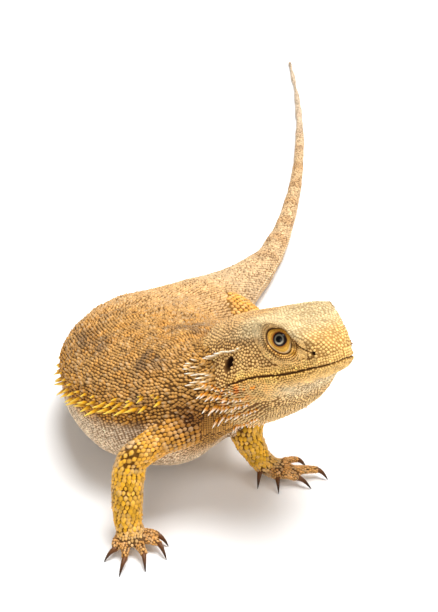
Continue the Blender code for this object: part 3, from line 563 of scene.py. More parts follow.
# The markings: pigment in the skin itself, brown and orange on the back, with a banded tail, a cream head
# with a yellow snout, an orange-spotted beard, yellow forearms and a beige belly, with painted shade under
# the shoulders and along the hip's fold. Skin and scales share them, by where a place is on the animal: a
# scale's colour, then the gap's, which is the skin's own darker tone deepened with painted shade.
COLOURS = {
    "back": ("#CE9C5C", "#4E341C"), "back_dark": ("#94704A", "#332414"),
    "back_orange": ("#D69648", "#573612"), "loin": ("#DFB480", "#72542F"), "tail": ("#D9B990", "#866644"),
    "tail_band": ("#C79E72", "#5F452A"), "tail_end": ("#DCCAB4", "#6C5946"),
    "belly": ("#F6DFC0", "#8E6E4E"), "flank": ("#C68A38", "#3E2006"), "crown": ("#DDC599", "#A68C64"),
    "snout": ("#EEC580", "#A87C44"), "cheek": ("#F6C986", "#653A14"), "lip": ("#F6C46C", "#643808"),
    "nape": ("#E2B47A", "#5C4020"), "beard": ("#F0C47E", "#441600"), "beard_spot": ("#F28C1A", "#701A00"),
    "chin": ("#F2DAB0", "#86683C"), "throat": ("#E6C086", "#6A4A22"), "lid": ("#D9A240", "#8A4C10"),
    "neck": ("#CF9A54", "#42260C"), "arm": ("#DEA04A", "#441E02"), "forearm": ("#E6AE40", "#4A2406"),
    "arm_side": ("#DDB27A", "#4E2C12"), "hand": ("#DFB47E", "#361C0A"), "toe": ("#D09A5C", "#3E2410"),
    # The last pair below is painted shade for the hollows and creases of the face
    "thigh": ("#EAAE5C", "#6A481C"), "shank": ("#E2B26A", "#553919"), "pit": ("#3A1E0C", "#2A1206"),
    # The first pair below is painted shade under the shoulders
    "armpit_shade": ("#7E4A18", "#2E1202"), "stripe_and_fold_shade": ("#B98A54", "#452B14"),
}
LID_RIM = "#F2DEBA"
LID_LINES = 0.055
LID_FLECK = 0.05
RICHNESS = 1.08
# How coarse the blotches, spots and flecks of the pigment are, and how far apart the tail's bands
BLOTCH = 1.6
SPOT = 0.45
FLECK = 0.22
BAND_SPACING = 1.55
# How much of the skin's tint is the gap's colour, and not the scales'
GAP_SHARE = 0.88
MM = 0.001
SKIN_GRAIN_MM = 0.5
SKIN_BUMP_MM = 0.1


def part_lines():
    """The centre line of each part, for telling which part a place is on."""
    lines = {"trunk": centre_line(TRUNK, count=300)}
    back = np.linspace(0.5, HEAD_LENGTH, 45)
    v = steady_curve(np.array(HEAD)[:, 0], np.array(HEAD)[:, 1:], back)
    middle = (v[:, 0] + v[:, 11]) / 2
    centre = on_head(np.column_stack([-back, np.zeros(45), middle]))
    ones = np.ones((45, 1))
    size = np.column_stack([v[:, 7], v[:, 0] - middle, middle - v[:, 11]])
    lines["head"] = {"centre": centre, "along": -AXES[0] * ones, "side": AXES[1] * ones,
                     "up": AXES[2] * ones, "size": size, "at": back, "length": HEAD_LENGTH}
    for name, stations in STATIONS.items():
        if name != "trunk":
            lines[name] = centre_line(stations, count=12 if name[-1].isdigit() else 30)
    return lines


LINES = part_lines()
NAMES = list(LINES)
# How many places are told apart at once, to spare memory
BATCH = 20000


def locate(points):
    """The number of the nearest part, the share along it, its direction and how far round each point is."""
    best = np.full(len(points), np.inf)
    found = {"part": np.zeros(len(points), int), "along": np.zeros((len(points), 3)),
             "share": np.zeros(len(points)), "round": np.zeros(len(points))}
    for number, name in enumerate(NAMES):
        line = LINES[name]
        radius = np.sqrt(line["size"][:, 0] * (line["size"][:, 1] + line["size"][:, 2]) / 2)
        for start in range(0, len(points), BATCH):
            rows = slice(start, start + BATCH)
            p = points[rows]
            gap = np.linalg.norm(p[:, None] - line["centre"][None], axis=2)
            i = np.argmin(gap / radius, axis=1)
            ratio = (gap / radius)[np.arange(len(p)), i]
            closer = ratio < best[rows]
            index = np.nonzero(closer)[0] + start
            i = i[closer]
            d = points[index] - line["centre"][i]
            best[index] = ratio[closer]
            found["part"][index] = number
            found["along"][index] = line["along"][i]
            found["share"][index] = line["at"][i] / line["length"]
            found["round"][index] = np.arctan2((d * line["up"][i]).sum(1), (d * line["side"][i]).sum(1))
    return found


def linear(code):
    """An sRGB hex colour as linear red, green and blue."""
    s = np.array([int(code[i:i + 2], 16) for i in (1, 3, 5)]) / 255
    return np.where(s <= 0.04045, s / 12.92, ((s + 0.055) / 1.055) ** 2.4)


def noise_field(p, size, shift, octaves=2):
    """Soft noise as coarse as size, in centimetres."""
    move = Vector((shift, shift, shift))
    return np.array([noise.fractal(Vector(v) / size + move, 0.7, 2.0, octaves) for v in p])


def marking(p, found, out):
    """The scale colour and the gap colour at each place."""
    pairs = {name: np.array([linear(code) for code in pair]) for name, pair in COLOURS.items()}
    colour = np.zeros((len(p), 2, 3))
    colour[:] = pairs["back"]

    def paint(name, weight):
        """Lays a colour over what is there, as much as the weight says, from 0 to 1."""
        w = np.clip(np.asarray(weight, float), 0, 1)[:, None, None]
        colour[:] = colour * (1 - w) + pairs[name] * w

    blotch = noise_field(p, BLOTCH, 3.0)
    spot = noise_field(p, SPOT, 9.0)
    fine = noise_field(p, FLECK, 17.0, 1)
    part = np.array(NAMES)[found["part"]]
    up = out[:, 2]
    y = p[:, 1]
    # The trunk and tail, from the back down to the belly and then towards the tail's end
    trunk = part == "trunk"
    paint("back_dark", trunk * (step(-0.1, 0.4, blotch) * 0.75 + step(0.1, 0.5, spot) * 0.45))
    paint("back_orange", trunk * step(0.05, 0.5, -spot) * 0.55)
    paint("loin", trunk * step(-6.4, -3.4, y) * 0.9)
    level = np.where(y < -2.5, np.sin(found["round"]), up) + 0.06 * spot
    paint("flank", trunk * step(0.35, 0.10, level) * (y < -2.5) * 0.8)
    paint("belly", trunk * step(0.04, -0.16, level) * 0.95)
    band = step(0.15, 0.6, np.sin((y + 0.35 * fine) * 2 * math.pi / BAND_SPACING))
    paint("tail", trunk * step(-3.0, -1.2, y))
    paint("tail_band", trunk * step(0.5, 3.0, y) * band * 0.75)
    paint("tail_end", trunk * step(9.0, 16.0, y) * 0.8)
    # The head, by how far back behind the snout's tip and how far up a place is
    q = on_left(p)
    back = -q[:, 0]
    head = part == "head"
    paint("cheek", head)
    paint("crown", head * step(0.25, 0.75, q[:, 2]))
    paint("nape", head * step(2.9, 4.2, back) * step(0.1, 0.8, q[:, 2]) * 0.9)
    paint("lip", head * hump(to_line(q, LIPS), 0.25) * 0.8)
    paint("snout", head * step(1.3, 0.4, back) * 0.8)
    paint("chin", head * step(-0.85, -1.35, q[:, 2] + 0.15 * spot) * step(2.9, 1.6, back))
    low = step(-0.75, -1.1, q[:, 2]) * step(1.9, 3.0, back)
    paint("beard", head * low)
    upper = step(1.9, 1.3, -q[:, 2] - 0.3 * back + 1.2)
    paint("beard_spot", head * low * step(-0.05, 0.25, fine + 0.5 * spot) * upper)
    paint("throat", head * step(-1.7, -2.2, q[:, 2]) * 0.7)
    r, h = round_the_eye(q)
    paint("lid", head * step(0.75, 0.50, r) * (h > 0) * 0.45)
    paint("lid", head * hump(np.linalg.norm(q - EYE_CORNER, axis=1), 0.10))
    paint("neck", trunk * step(6.9, 5.4, back) * (y < -8))
    # The limbs, palms and toes
    for name in NAMES:
        here = part == name
        if name.endswith("_upper"):
            paint("arm" if name.startswith("arm") else "thigh", here)
            paint("forearm", here * name.startswith("arm") * step(0.55, 1.0, found["share"]) * 0.6)
            paint("neck", here * name.startswith("arm") * step(0.42, 0.12, found["share"]) * 0.8)
        elif name.endswith("_lower"):
            paint("arm_side" if name.startswith("arm") else "shank", here)
            paint("forearm", here * name.startswith("arm") * step(-0.2, 0.5, -out[:, 1] + 0.5 * fine))
        elif name in PALMS:
            paint("hand", here)
            wrist = name.startswith("hand") * step(0.35, 0.75, p[:, 2])
            paint("forearm", here * wrist * (0.35 + 0.5 * spot))
        elif name[-1].isdigit():
            paint("toe", here)
    # What lies over several parts
    # Painted shade under the shoulders, where the arms meet the body
    paint("armpit_shade", hump(np.linalg.norm(p - ARMPIT, axis=1), 0.8) * ~head * 0.9)
    # The band behind the eye is pigment; along the hip's fold the same brown is painted shade
    stripe_and_fold_shade = head * hump(to_line(q, STRIPE), 0.12) + trunk * hump(to_line(p, HIP_FOLD), 0.2)
    paint("stripe_and_fold_shade", stripe_and_fold_shade * 0.65)
    limb = ~(trunk | head)
    paint("belly", limb * step(-0.45, -0.85, up) * 0.6)
    colour *= (1 + 0.22 * fine + 0.14 * spot)[:, None, None]
    grey = colour.mean(axis=2, keepdims=True)
    return np.clip(grey + (colour - grey) * RICHNESS, 0, 1)


def hollow_shade(p):
    """Painted shade: 1 in the ears, the nostrils and the line of the mouth, and less in the creases of the
    face and round the lids.
    """
    q = on_left(p)
    flat = before_relief(p)
    ear = 1 - step(0.80, 1.0, round_the_ear(q))
    nostril = 1 - step(0.06, 0.10, np.linalg.norm(flat - NOSTRIL, axis=1))
    mouth = 0.9 * (1 - step(0.008, 0.036, to_line(flat, LIPS)))
    crease = 0.45 * (1 - step(0.012, 0.045, to_line(flat, CREASE))) + 0.45 * hump(to_line(flat, FOLD), 0.03)
    r, h = round_the_eye(q)
    low = step(0.2, -0.3, (q - EYE) @ (EYE_UP + 0.6 * EYE_AHEAD))
    lids = (0.95 * hump(r - LID_LINE, 0.022) + 0.6 * low * hump(r - LID_FOLD, 0.022)) * (h > 0)
    return np.clip(ear + nostril + mouth + crease + lids, 0, 1)


def new_material(name):
    material = bpy.data.materials.new(name)
    material.use_nodes = True
    return material, material.node_tree


def set_inputs(graph, node, inputs):
    """Gives a node its inputs, each a value or a socket to link from."""
    for name, value in inputs.items():
        if isinstance(value, bpy.types.NodeSocket):
            graph.links.new(value, node.inputs[name])
        else:
            node.inputs[name].default_value = value


def add_node(graph, kind, inputs, **settings):
    node = graph.nodes.new(kind)
    for name, value in settings.items():
        setattr(node, name, value)
    set_inputs(graph, node, inputs)
    return node


def keratin(name, roughness, grain_mm, bump_mm):
    """Horny skin in the colours of its "tint" attribute: a matt, faintly waxy face with a fine grain."""
    material, graph = new_material(name)
    place = add_node(graph, "ShaderNodeTexCoord", {}).outputs["Object"]
    tint = add_node(graph, "ShaderNodeAttribute", {}, attribute_name="tint").outputs["Color"]
    speck = add_node(graph, "ShaderNodeTexNoise",
                     {"Vector": place, "Scale": 1 / (grain_mm * MM), "Detail": 3.0}).outputs["Fac"]
    worn = add_node(graph, "ShaderNodeMapRange", {"Value": speck, "To Min": 0.86, "To Max": 1.14})
    mixed = add_node(graph, "ShaderNodeVectorMath", {0: tint, 1: worn.outputs["Result"]},
                     operation="MULTIPLY")
    relief = add_node(graph, "ShaderNodeBump",
                      {"Height": speck, "Distance": bump_mm * MM, "Strength": 0.6})
    set_inputs(graph, graph.nodes["Principled BSDF"], {
        "Base Color": mixed.outputs["Vector"], "Normal": relief.outputs["Normal"],
        "Roughness": roughness, "Specular IOR Level": 0.18})
    return material


def set_tint(mesh, values):
    rows = np.column_stack([values, np.ones(len(values))]).astype(np.float32)
    mesh.color_attributes.new("tint", "FLOAT_COLOR", "POINT").data.foreach_set("color", rows.reshape(-1))


def finish_skin(obj):
    """The skin between the scales, darker than they are in its own tone and with painted shade, with bare
    gold lids round the eyes.
    """
    p = to_animal(rows_of(obj.data.vertices, "co"))
    found = locate(p)
    colour = marking(p, found, rows_of(obj.data.vertices, "normal"))
    tint = colour[:, 1] * GAP_SHARE + colour[:, 0] * (1 - GAP_SHARE)
    # The ears, nostrils, mouth and creases are darkened here with painted shade
    dark = hollow_shade(p)[:, None]
    tint = tint * (1 - dark) + linear(COLOURS["pit"][1]) * dark
    q = on_left(p)
    r, h = round_the_eye(q)
    lid = (step(0.44, 0.42, r) * (r > LID_EDGE - 0.03) * (h > 0.1))[:, None]
    inner = step(0.32, 0.25, r)[:, None]
    gold = linear(COLOURS["lid"][0]) * (1 - inner) + linear(COLOURS["lid"][1]) * inner
    lines = 0.12 * np.cos(r * 2 * math.pi / LID_LINES)
    gold = gold * (0.95 + lines + 0.35 * noise_field(p, LID_FLECK, 5.0, 1))[:, None]
    rim = (0.6 * hump(r - 0.405, 0.02) * step(0.15, -0.15, (q - EYE) @ EYE_UP))[:, None]
    gold = gold * (1 - rim) + linear(LID_RIM) * rim
    tint = tint * (1 - lid) + gold * lid
    set_tint(obj.data, tint)
    # Reptile hide, thin and dry: quite matt, with a soft grain; its tint, with painted shade, keeps the
    # gaps dark
    obj.data.materials.append(keratin("skin_between_scales", 0.7, SKIN_GRAIN_MM, SKIN_BUMP_MM))
    obj.data.shade_smooth()
    flesh = ["head", "neck", "torso", "tail_1", "tail_2", "tail_3", "tail_4"]
    for side in ("left", "right"):
        flesh += [f"{name}_{side}" for name in ("upper_arm", "forearm", "hand", "thigh", "shank", "foot")]
    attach(obj, "root")
    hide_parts(*flesh)


finish_skin(skin)

# The scales: small keeled plates of keratin that grow out of the skin and overlap towards the tail, in
# rings along the trunk, tail and limbs, in rows by the lips and round the eyes, and evenly on the rest of
# the head. Each one's rim is sunk in the skin, and those of one part of the body are one mesh.
# How far apart the scales stand on each kind of part
SPACING = {"trunk": 0.117, "head": 0.10, "upper": 0.165, "lower": 0.18, "palm": 0.115, "toe": 0.10}
BELLY_FINER = 1.35
TAIL_FINER = 0.45
TAIL_FROM = -1.9
# The limb that each foot is on
FEET = {"hand_right": "arm_right", "hand_left": "arm_left",
        "foot_left": "leg_left", "foot_right": "leg_right"}
RIM = [(0, -0.54), (0.42, -0.24), (0.44, 0.16), (0, 0.58), (-0.44, 0.16), (-0.42, -0.24)]
SIDES = len(RIM)
RIM_SUNK = 0.18


def plate_form(top, back, inner_height, peak):
    """A six-sided plate: its rim, a smaller ring on top of it and a peak."""
    rim = [(x, y, -RIM_SUNK) for x, y in RIM]
    ring = [(x * top, y * top + back, inner_height) for x, y in RIM]
    return np.array(rim + ring + [peak])


PLATE = plate_form(0.84, 0.02, 0.72, (0, 0.12, 1.0))
THORN = plate_form(0.70, 0.10, 0.55, (0, 0.78, 1.05))
PLATE_FACES = []
for i in range(SIDES):
    j = (i + 1) % SIDES
    PLATE_FACES += [(i, j, SIDES + j), (i, SIDES + j, SIDES + i), (SIDES + i, SIDES + j, 2 * SIDES)]
# Painted shade and light: how much of the scale's colour each point has over the gap's, at rim, ring and
# peak
PLATE_SHADE = (0.0,) * SIDES + (0.82,) * SIDES + (1.0,)
PALE_EDGE = "#F8E6C4"
# How wide a scale is on the unwrap that its colours bake to
PATCH = 0.003
# Rows over and under the lips, and how far apart they and the rings round the eye are
LIP_ROWS = (4, 11)
ROW_GAP = 0.088
EYE_RING_GAP = 0.068
EYE_SCALE_GAP = 0.075
# Roots stand at least this share of their spacing apart: those in rows, and those that fill in
ROW_CLEAR = 0.62
FILL_CLEAR = 0.86
# A cell of the grid that finds a root's neighbours: wider than any spacing
CELL = 0.2
SETTLE_ROUNDS = 6
SETTLE_REACH = 1.25
SETTLE_PUSH = 0.28
SCALE_GRAIN_MM = 0.3
SCALE_BUMP_MM = 0.06
chance = np.random.default_rng(11)
tree = BVHTree.FromObject(skin, bpy.context.evaluated_depsgraph_get())


def part_spacing(name):
    last = name.rsplit("_", 1)[-1]
    return SPACING["palm" if name in PALMS else "toe" if last.isdigit() else last]


def finer_tail(y):
    return 1 - TAIL_FINER * step(1, 16, y)


def spacing_at(found, p):
    """How far apart the scales stand at each place."""
    part = np.array(NAMES)[found["part"]]
    space = np.array([part_spacing(name) for name in NAMES])[found["part"]]
    space[(part == "trunk") & (np.sin(found["round"]) < -0.05)] /= BELLY_FINER
    tail = (part == "trunk") & (p[:, 1] > 1)
    space[tail] *= finer_tail(p[tail, 1])
    q = on_left(p)
    head = part == "head"
    r, h = round_the_eye(q)
    space[head] *= 1 - 0.35 * hump(r[head] - 0.6, 0.15) - 0.2 * hump(to_line(q[head], LIPS), 0.2)
    return space


def ring_roots(name, first, last):
    """Roots in staggered rings round one part, where rays from its centre line meet the skin."""
    length = centre_line(STATIONS[name], count=2)["length"]
    places = []
    at = first * length
    while at < last * length:
        line = centre_line(STATIONS[name], s=[at])
        space = part_spacing(name)
        if name == "trunk":
            space *= float(finer_tail(line["centre"][0, 1]))
        places.append((at, space))
        at += space * 0.86
    line = centre_line(STATIONS[name], s=[at for at, _ in places])
    roots = []
    for i, (at, space) in enumerate(places):
        wide, high, deep = line["size"][i]
        a = np.linspace(0, 2 * math.pi, 361)
        tall = np.where(np.sin(a) >= 0, high, deep)
        x = wide * np.cos(a)
        z = tall * np.sin(a)
        finer = np.where((np.sin(a) < -0.05) & (name == "trunk"), BELLY_FINER, 1.0)
        girth = np.concatenate([[0], np.cumsum(np.hypot(np.diff(x), np.diff(z)) * finer[1:])])
        count = max(int(round(girth[-1] / space)), 5)
        rows = (np.arange(count) + 0.5 * (i % 2) + chance.uniform(-0.12, 0.12, count)) / count * girth[-1]
        x = np.interp(rows, girth, x)
        z = np.interp(rows, girth, z)
        centre = line["centre"][i]
        for dx, dz in zip(x, z):
            reach = math.hypot(dx, dz)
            shift = chance.uniform(-0.42, 0.42) * space * (dz > 0 and name == "trunk")
            aim = line["side"][i] * dx + line["up"][i] * dz + line["along"][i] * shift
            hit, out, _, gap = tree.ray_cast(Vector(to_world(centre)), Vector(unit(aim)))
            if hit is not None and gap / CM < reach * 1.18 + 0.08:
                roots.append((*to_animal(hit), *out))
    return np.array(roots).reshape(-1, 6)


class Crowd:
    """Roots already laid, in a grid of cells, to keep new ones clear of them."""

    def __init__(self, cell):
        self.cell = cell
        self.cells = {}

    def key(self, p):
        return tuple(int(math.floor(c / self.cell)) for c in p)

    def add(self, p):
        self.cells.setdefault(self.key(p), []).append(p)

    def clear(self, p, gap):
        """Whether no other root is nearer than the gap."""
        x, y, z = self.key(p)
        for i in (x - 1, x, x + 1):
            for j in (y - 1, y, y + 1):
                for k in (z - 1, z, z + 1):
                    for other in self.cells.get((i, j, k), ()):
                        dx, dy, dz = p[0] - other[0], p[1] - other[1], p[2] - other[2]
                        if dx**2 + dy**2 + dz**2 < gap * gap:
                            return False
        return True


def bare(p):
    """True where no scale grows: in the ears, nostrils, mouth and creases, and on the eye's bare lids."""
    q = on_left(p)
    flat = before_relief(p)
    r, h = round_the_eye(q)
    nostril = np.linalg.norm(flat - NOSTRIL, axis=1) < 0.11
    lid = (h > 0) & (r < LID_LINE + 0.035)
    lines = (to_line(flat, LIPS) < 0.045) | (to_line(flat, CREASE) < 0.03)
    return (round_the_ear(q) < 1.0) | lines | nostril | lid


def on_skin(point):
    """The nearest place on the skin, and the way out of it."""
    hit, out, _, _ = tree.find_nearest(Vector(to_world(point)))
    return to_animal(hit), np.array(out)


def face_roots():
    """Roots in rows that follow the lips, over the jaw and the cheek, and in rings round the eyes."""
    roots = []
    for side in (1, -1):
        for sense, rows in ((1, LIP_ROWS[0]), (-1, LIP_ROWS[1])):
            line = on_head(LIPS * (1, side, 1))
            outs = np.array([on_skin(point)[1] for point in line])
            for number in range(rows):
                down = AXES[2] * sense - outs * (outs @ AXES[2] * sense)[:, None]
                pairs = [on_skin(point) for point in line + unit(down) * ROW_GAP]
                line = np.array([pair[0] for pair in pairs])
                outs = np.array([pair[1] for pair in pairs])
                s = distances(line)
                at = np.arange(0.04, s[-1] - 0.04, SPACING["head"] * 0.95)
                # No two knots of the curve may be alike, even where the row's points meet
                for point in smooth_curve(s + np.arange(len(s)) * 1e-6, line, at):
                    place, out = on_skin(point)
                    roots.append((*place, *out))
        for r in np.arange(LID_LINE + 0.06, 1.0, EYE_RING_GAP):
            girth = 2 * math.pi * r * 0.95
            for a in round_angles(int(girth / EYE_SCALE_GAP)) + r * 9:
                longest = r * LID_SHAPE[0] * math.cos(a)
                shortest = r * LID_SHAPE[1] * math.sin(a)
                front = longest * math.cos(LID_SLANT) + shortest * math.sin(LID_SLANT) + LID_SHIFT[0]
                up = shortest * math.cos(LID_SLANT) - longest * math.sin(LID_SLANT) + LID_SHIFT[1]
                start = on_head((EYE + EYE_AIM + EYE_AHEAD * front + EYE_UP * up) * (1, side, 1))
                inwards = Vector(-(EYE_AIM * (1, side, 1)) @ AXES)
                hit, out, _, _ = tree.ray_cast(Vector(to_world(start)), inwards)
                if hit is not None:
                    roots.append((*to_animal(hit), *out))
    return np.array(roots)


def gather_roots():
    """All the roots, with their normals, and how many come first that stay put, in the face's rows."""
    crowd = Crowd(CELL)
    kept = []

    def keep(roots, share):
        space = spacing_at(locate(roots[:, :3]), roots[:, :3])
        empty = bare(roots[:, :3])
        for row, gap, skip in zip(roots, space, empty):
            if not skip and crowd.clear(row[:3], gap * share):
                crowd.add(row[:3])
                kept.append(row)

    keep(face_roots(), ROW_CLEAR)
    rows = len(kept)
    for name in NAMES:
        if name != "head":
            first, last = (0.07, 0.999) if name == "trunk" else (0.0, 1.0)
            roots = ring_roots(name, first, last)
            mine = locate(roots[:, :3])["part"] == NAMES.index(name)
            keep(roots[mine], ROW_CLEAR)
    polygons = skin.data.polygons
    faces = np.column_stack([to_animal(rows_of(polygons, "center")), rows_of(polygons, "normal")])
    keep(faces[chance.permutation(len(polygons))], FILL_CLEAR)
    return np.array(kept), rows


def settle(roots, rows):
    """Moves the head's loose roots apart until they lie evenly, and back on the skin."""
    found = locate(roots[:, :3])
    head = found["part"] == NAMES.index("head")
    loose = np.nonzero(head & (np.arange(len(roots)) >= rows))[0]
    for _ in range(SETTLE_ROUNDS):
        space = spacing_at(locate(roots[:, :3]), roots[:, :3])
        near = KDTree(len(roots))
        for i, p in enumerate(roots[:, :3]):
            near.insert(p, i)
        near.balance()
        moved = roots.copy()
        for i in loose:
            push = np.zeros(3)
            here = roots[i, :3]
            reach = space[i] * SETTLE_REACH
            for other, j, gap in near.find_range(here, reach):
                if j != i and gap > 1e-6:
                    push += (here - np.array(other)) / gap * (reach - gap)
            place, out = on_skin(here + push * SETTLE_PUSH)
            moved[i] = (*place, *out)
        roots = moved
    return roots[~bare(roots[:, :3])]


def bake_places(found, names):
    """Where each root is on the skin rolled out flat: a strip for each part, as wide as its girth."""
    girths = np.array([LINES[n]["size"].mean() for n in names])
    edges = np.concatenate([[0], np.cumsum(girths)]) / girths.sum()
    row = {NAMES.index(n): i for i, n in enumerate(names)}
    strip = np.array([row.get(int(part), 0) for part in found["part"]])
    turn = (found["round"] / (2 * math.pi)) % 1.0
    v = edges[strip] + (edges[strip + 1] - edges[strip]) * (0.03 + 0.94 * turn)
    return np.column_stack([0.01 + 0.98 * found["share"], 0.005 + 0.99 * v])


def joined_mesh(name, points, faces, colours, uvs):
    """One mesh of many like pieces, from arrays of (piece, point, xyz) and the faces of one piece."""
    pieces, corners = points.shape[:2]
    all_faces = (np.array(faces)[None] + (np.arange(pieces) * corners)[:, None, None]).reshape(-1, 3)
    mesh = bpy.data.meshes.new(name)
    places = to_world(points.reshape(-1, 3))
    # Under the feet, belly and tail they are pressed flat on the floor
    places[:, 2] = np.maximum(places[:, 2], 0)
    mesh.from_pydata(places, [], all_faces)
    set_tint(mesh, colours.reshape(-1, 3))
    layer = mesh.uv_layers.new(name="OFBake")
    corner_uvs = uvs.reshape(-1, 2)[all_faces.reshape(-1)]
    layer.data.foreach_set("uv", corner_uvs.astype(np.float32).reshape(-1))
    mesh.shade_smooth()
    obj = add_object(name, mesh)
    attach(obj, "root")
    return obj


# Keratin, grown in thin layers: a little smoother than the skin, so a scale's top catches a faint light
scale_keratin = keratin("keratin_scales", 0.55, SCALE_GRAIN_MM, SCALE_BUMP_MM)


def lay_scales(name, roots, found, parts):
    """One coat piece: a plate on each root, sized, tilted and coloured by where it grows."""
    p = roots[:, :3]
    out = roots[:, 3:]
    space = spacing_at(found, p)[:, None]
    lie = unit(found["along"] - out * (found["along"] * out).sum(1)[:, None])
    lie = unit(lie + chance.normal(0, 0.08, lie.shape))
    across = np.cross(lie, out)
    colour = marking(p, found, out)
    q = on_left(p)
    part = np.array(NAMES)[found["part"]]
    head = part == "head"
    trunk = part == "trunk"
    limb = ~(head | trunk)
    beard = head * step(-0.75, -1.15, q[:, 2]) * step(2.2, 3.6, -q[:, 0])
    back = trunk * step(0.0, 0.5, out[:, 2]) * step(2.0, -4.0, p[:, 1])
    belly = trunk * step(-0.1, -0.4, out[:, 2])
    # How far each scale is from a low plate to a raised thorn: most on the beard, and least on the belly
    thorn = np.clip(0.85 * beard + 0.48 * back + 0.50 * limb + 0.15 * trunk - 0.15 * belly, 0, 1)[:, None]
    size = chance.normal(1, 0.10, (len(p), 1)).clip(0.75, 1.3)
    big = (chance.random(len(p)) < 0.13) * back
    size = size * (1 + 0.32 * big[:, None])
    wide = space * (1.08 + 0.08 * limb - 0.22 * beard)[:, None] * size
    long = space * (1.14 + 0.32 * thorn) * size
    high = space * (0.22 - 0.08 * belly[:, None] + 0.42 * thorn) * size
    shape = PLATE[None] * (1 - thorn[..., None]) + THORN[None] * thorn[..., None]
    points = (p[:, None] + across[:, None] * (shape[..., 0] * wide)[..., None]
              + lie[:, None] * (shape[..., 1] * long)[..., None]
              + out[:, None] * (shape[..., 2] * high)[..., None])
    # Dark rims and light tops: each scale's painted shade and light
    shade = np.array(PLATE_SHADE)[None, :, None]
    colours = colour[:, None, 1] * (1 - shade) + colour[:, None, 0] * shade
    colours = colours * chance.normal(1, 0.13, (len(p), 1, 1)).clip(0.6, 1.4)
    corner = np.arange(len(PLATE))
    tip = (corner == 2 * SIDES)[None, :, None]
    edge = ((corner >= SIDES) & (corner < 2 * SIDES))[None, :, None]
    pale = limb * chance.random(len(p)) ** 2 * 0.28
    white = tip * (0.5 * beard + 0.30 * big + 0.10 * back)[:, None, None] + edge * pale[:, None, None]
    colours = np.clip(colours * (1 - white) + linear(PALE_EDGE) * white, 0, 1)
    uvs = bake_places(found, parts)[:, None] + shape[..., :2] * PATCH / 1.2
    obj = joined_mesh(name, points, PLATE_FACES, colours, uvs)
    obj.data.materials.append(scale_keratin)


def lay_coat():
    roots = settle(*gather_roots())
    found = locate(roots[:, :3])
    part = np.array(NAMES)[found["part"]]
    up = roots[:, 5]
    groups = {"scales_head": (part == "head", ["head"]),
              "scales_back": ((part == "trunk") & (roots[:, 1] < TAIL_FROM) & (up > -0.2), ["trunk"]),
              "scales_belly": ((part == "trunk") & (roots[:, 1] < TAIL_FROM) & (up <= -0.2), ["trunk"]),
              "scales_tail": ((part == "trunk") & (roots[:, 1] >= TAIL_FROM), ["trunk"])}
    for foot, limb in FEET.items():
        parts = [f"{limb}_upper", f"{limb}_lower", foot] + [f"{foot}_{n}" for n in range(1, 6)]
        groups[f"scales_{limb}"] = (np.isin(part, parts), parts)
    for name, (mine, parts) in groups.items():
        some = {key: value[mine] for key, value in found.items()}
        lay_scales(name, roots[mine], some, parts)


lay_coat()

# The spines: long scales of keratin drawn out to slightly bent cones, with a broad root in the skin. Rows
# stand along both flanks, over the beard and jaw, behind each ear, on the sides of the neck and on both
# sides of the tail's root.
SPINE_SIDES = 7
# Heights and radii of a spine's rings, as shares of its length and radius
SPINE_RINGS = [(-0.12, 1.0), (0.30, 0.80), (0.62, 0.50), (0.86, 0.22)]
SPINE_BEND = 0.10
SPINE_PATCH = 0.0014
# The flank's rows: how many spines, how high over the trunk's side and how big
FLANK_ROWS = ((30, -0.16, 1.0), (28, 0.08, 0.85), (24, 0.30, 0.5))


def spine_form():
    """The points (across, across, height) and faces of one spine."""
    points = []
    for height, radius in SPINE_RINGS:
        points += [(radius * math.cos(a), radius * math.sin(a), height) for a in round_angles(SPINE_SIDES)]
    points.append((0, 0, 1))
    faces = []
    for ring in range(len(SPINE_RINGS) - 1):
        for i in range(SPINE_SIDES):
            a = ring * SPINE_SIDES + i
            b = ring * SPINE_SIDES + (i + 1) % SPINE_SIDES
            faces += [(a, b, b + SPINE_SIDES), (a, b + SPINE_SIDES, a + SPINE_SIDES)]
    last = (len(SPINE_RINGS) - 1) * SPINE_SIDES
    faces += [(last + i, last + (i + 1) % SPINE_SIDES, len(points) - 1) for i in range(SPINE_SIDES)]
    return np.array(points), faces


def lay_spines(name, wanted, roots, middle, tip, parts):
    """One mesh of like spines. Each wanted one has a place, how much it leans out of the skin and along a
    direction, that direction, a length and a radius."""
    form, faces = spine_form()
    places = []
    for point, (rise, lean), direction, length, radius in wanted:
        place, out = on_skin(point)
        aim = unit(out * rise + unit(direction) * lean)
        places.append((*place, *aim, *out, length, radius))
    places = np.array(places)
    places = places[~bare(places[:, :3])]
    p = places[:, :3]
    aim = places[:, 3:6]
    out = places[:, 6:9]
    length = places[:, 9, None]
    radius = places[:, 10, None]
    side = unit(np.cross(aim, out))
    over = np.cross(side, aim)
    x, y, z = form.T[:, None, :]
    bend = -SPINE_BEND * length * z**2
    points = (p[:, None] + side[:, None] * (x * radius)[..., None]
              + over[:, None] * (y * radius * 0.8 + bend)[..., None]
              + aim[:, None] * (z * length)[..., None])
    t = np.clip(z, 0, 1)[..., None]
    mix = chance.random((len(p), 1, 1)) ** 2.0
    base = linear(roots[0]) * (1 - mix) + linear(roots[1]) * mix
    low = step(0.05, 0.45, t)
    high = step(0.42, 0.80, t)
    colours = (base * (1 - low) + linear(middle) * low) * (1 - high) + linear(tip) * high
    shade = (0.35 + 0.65 * step(-0.05, 0.25, t)) * chance.normal(1, 0.08, (len(p), 1, 1))
    colours = np.clip(colours * shade, 0, 1)
    patch = np.stack([x * np.ones_like(radius), y * np.ones_like(radius)], -1) * SPINE_PATCH
    uvs = bake_places(locate(p), parts)[:, None] + patch
    obj = joined_mesh(name, points, faces, colours, uvs)
    obj.data.materials.append(scale_keratin)


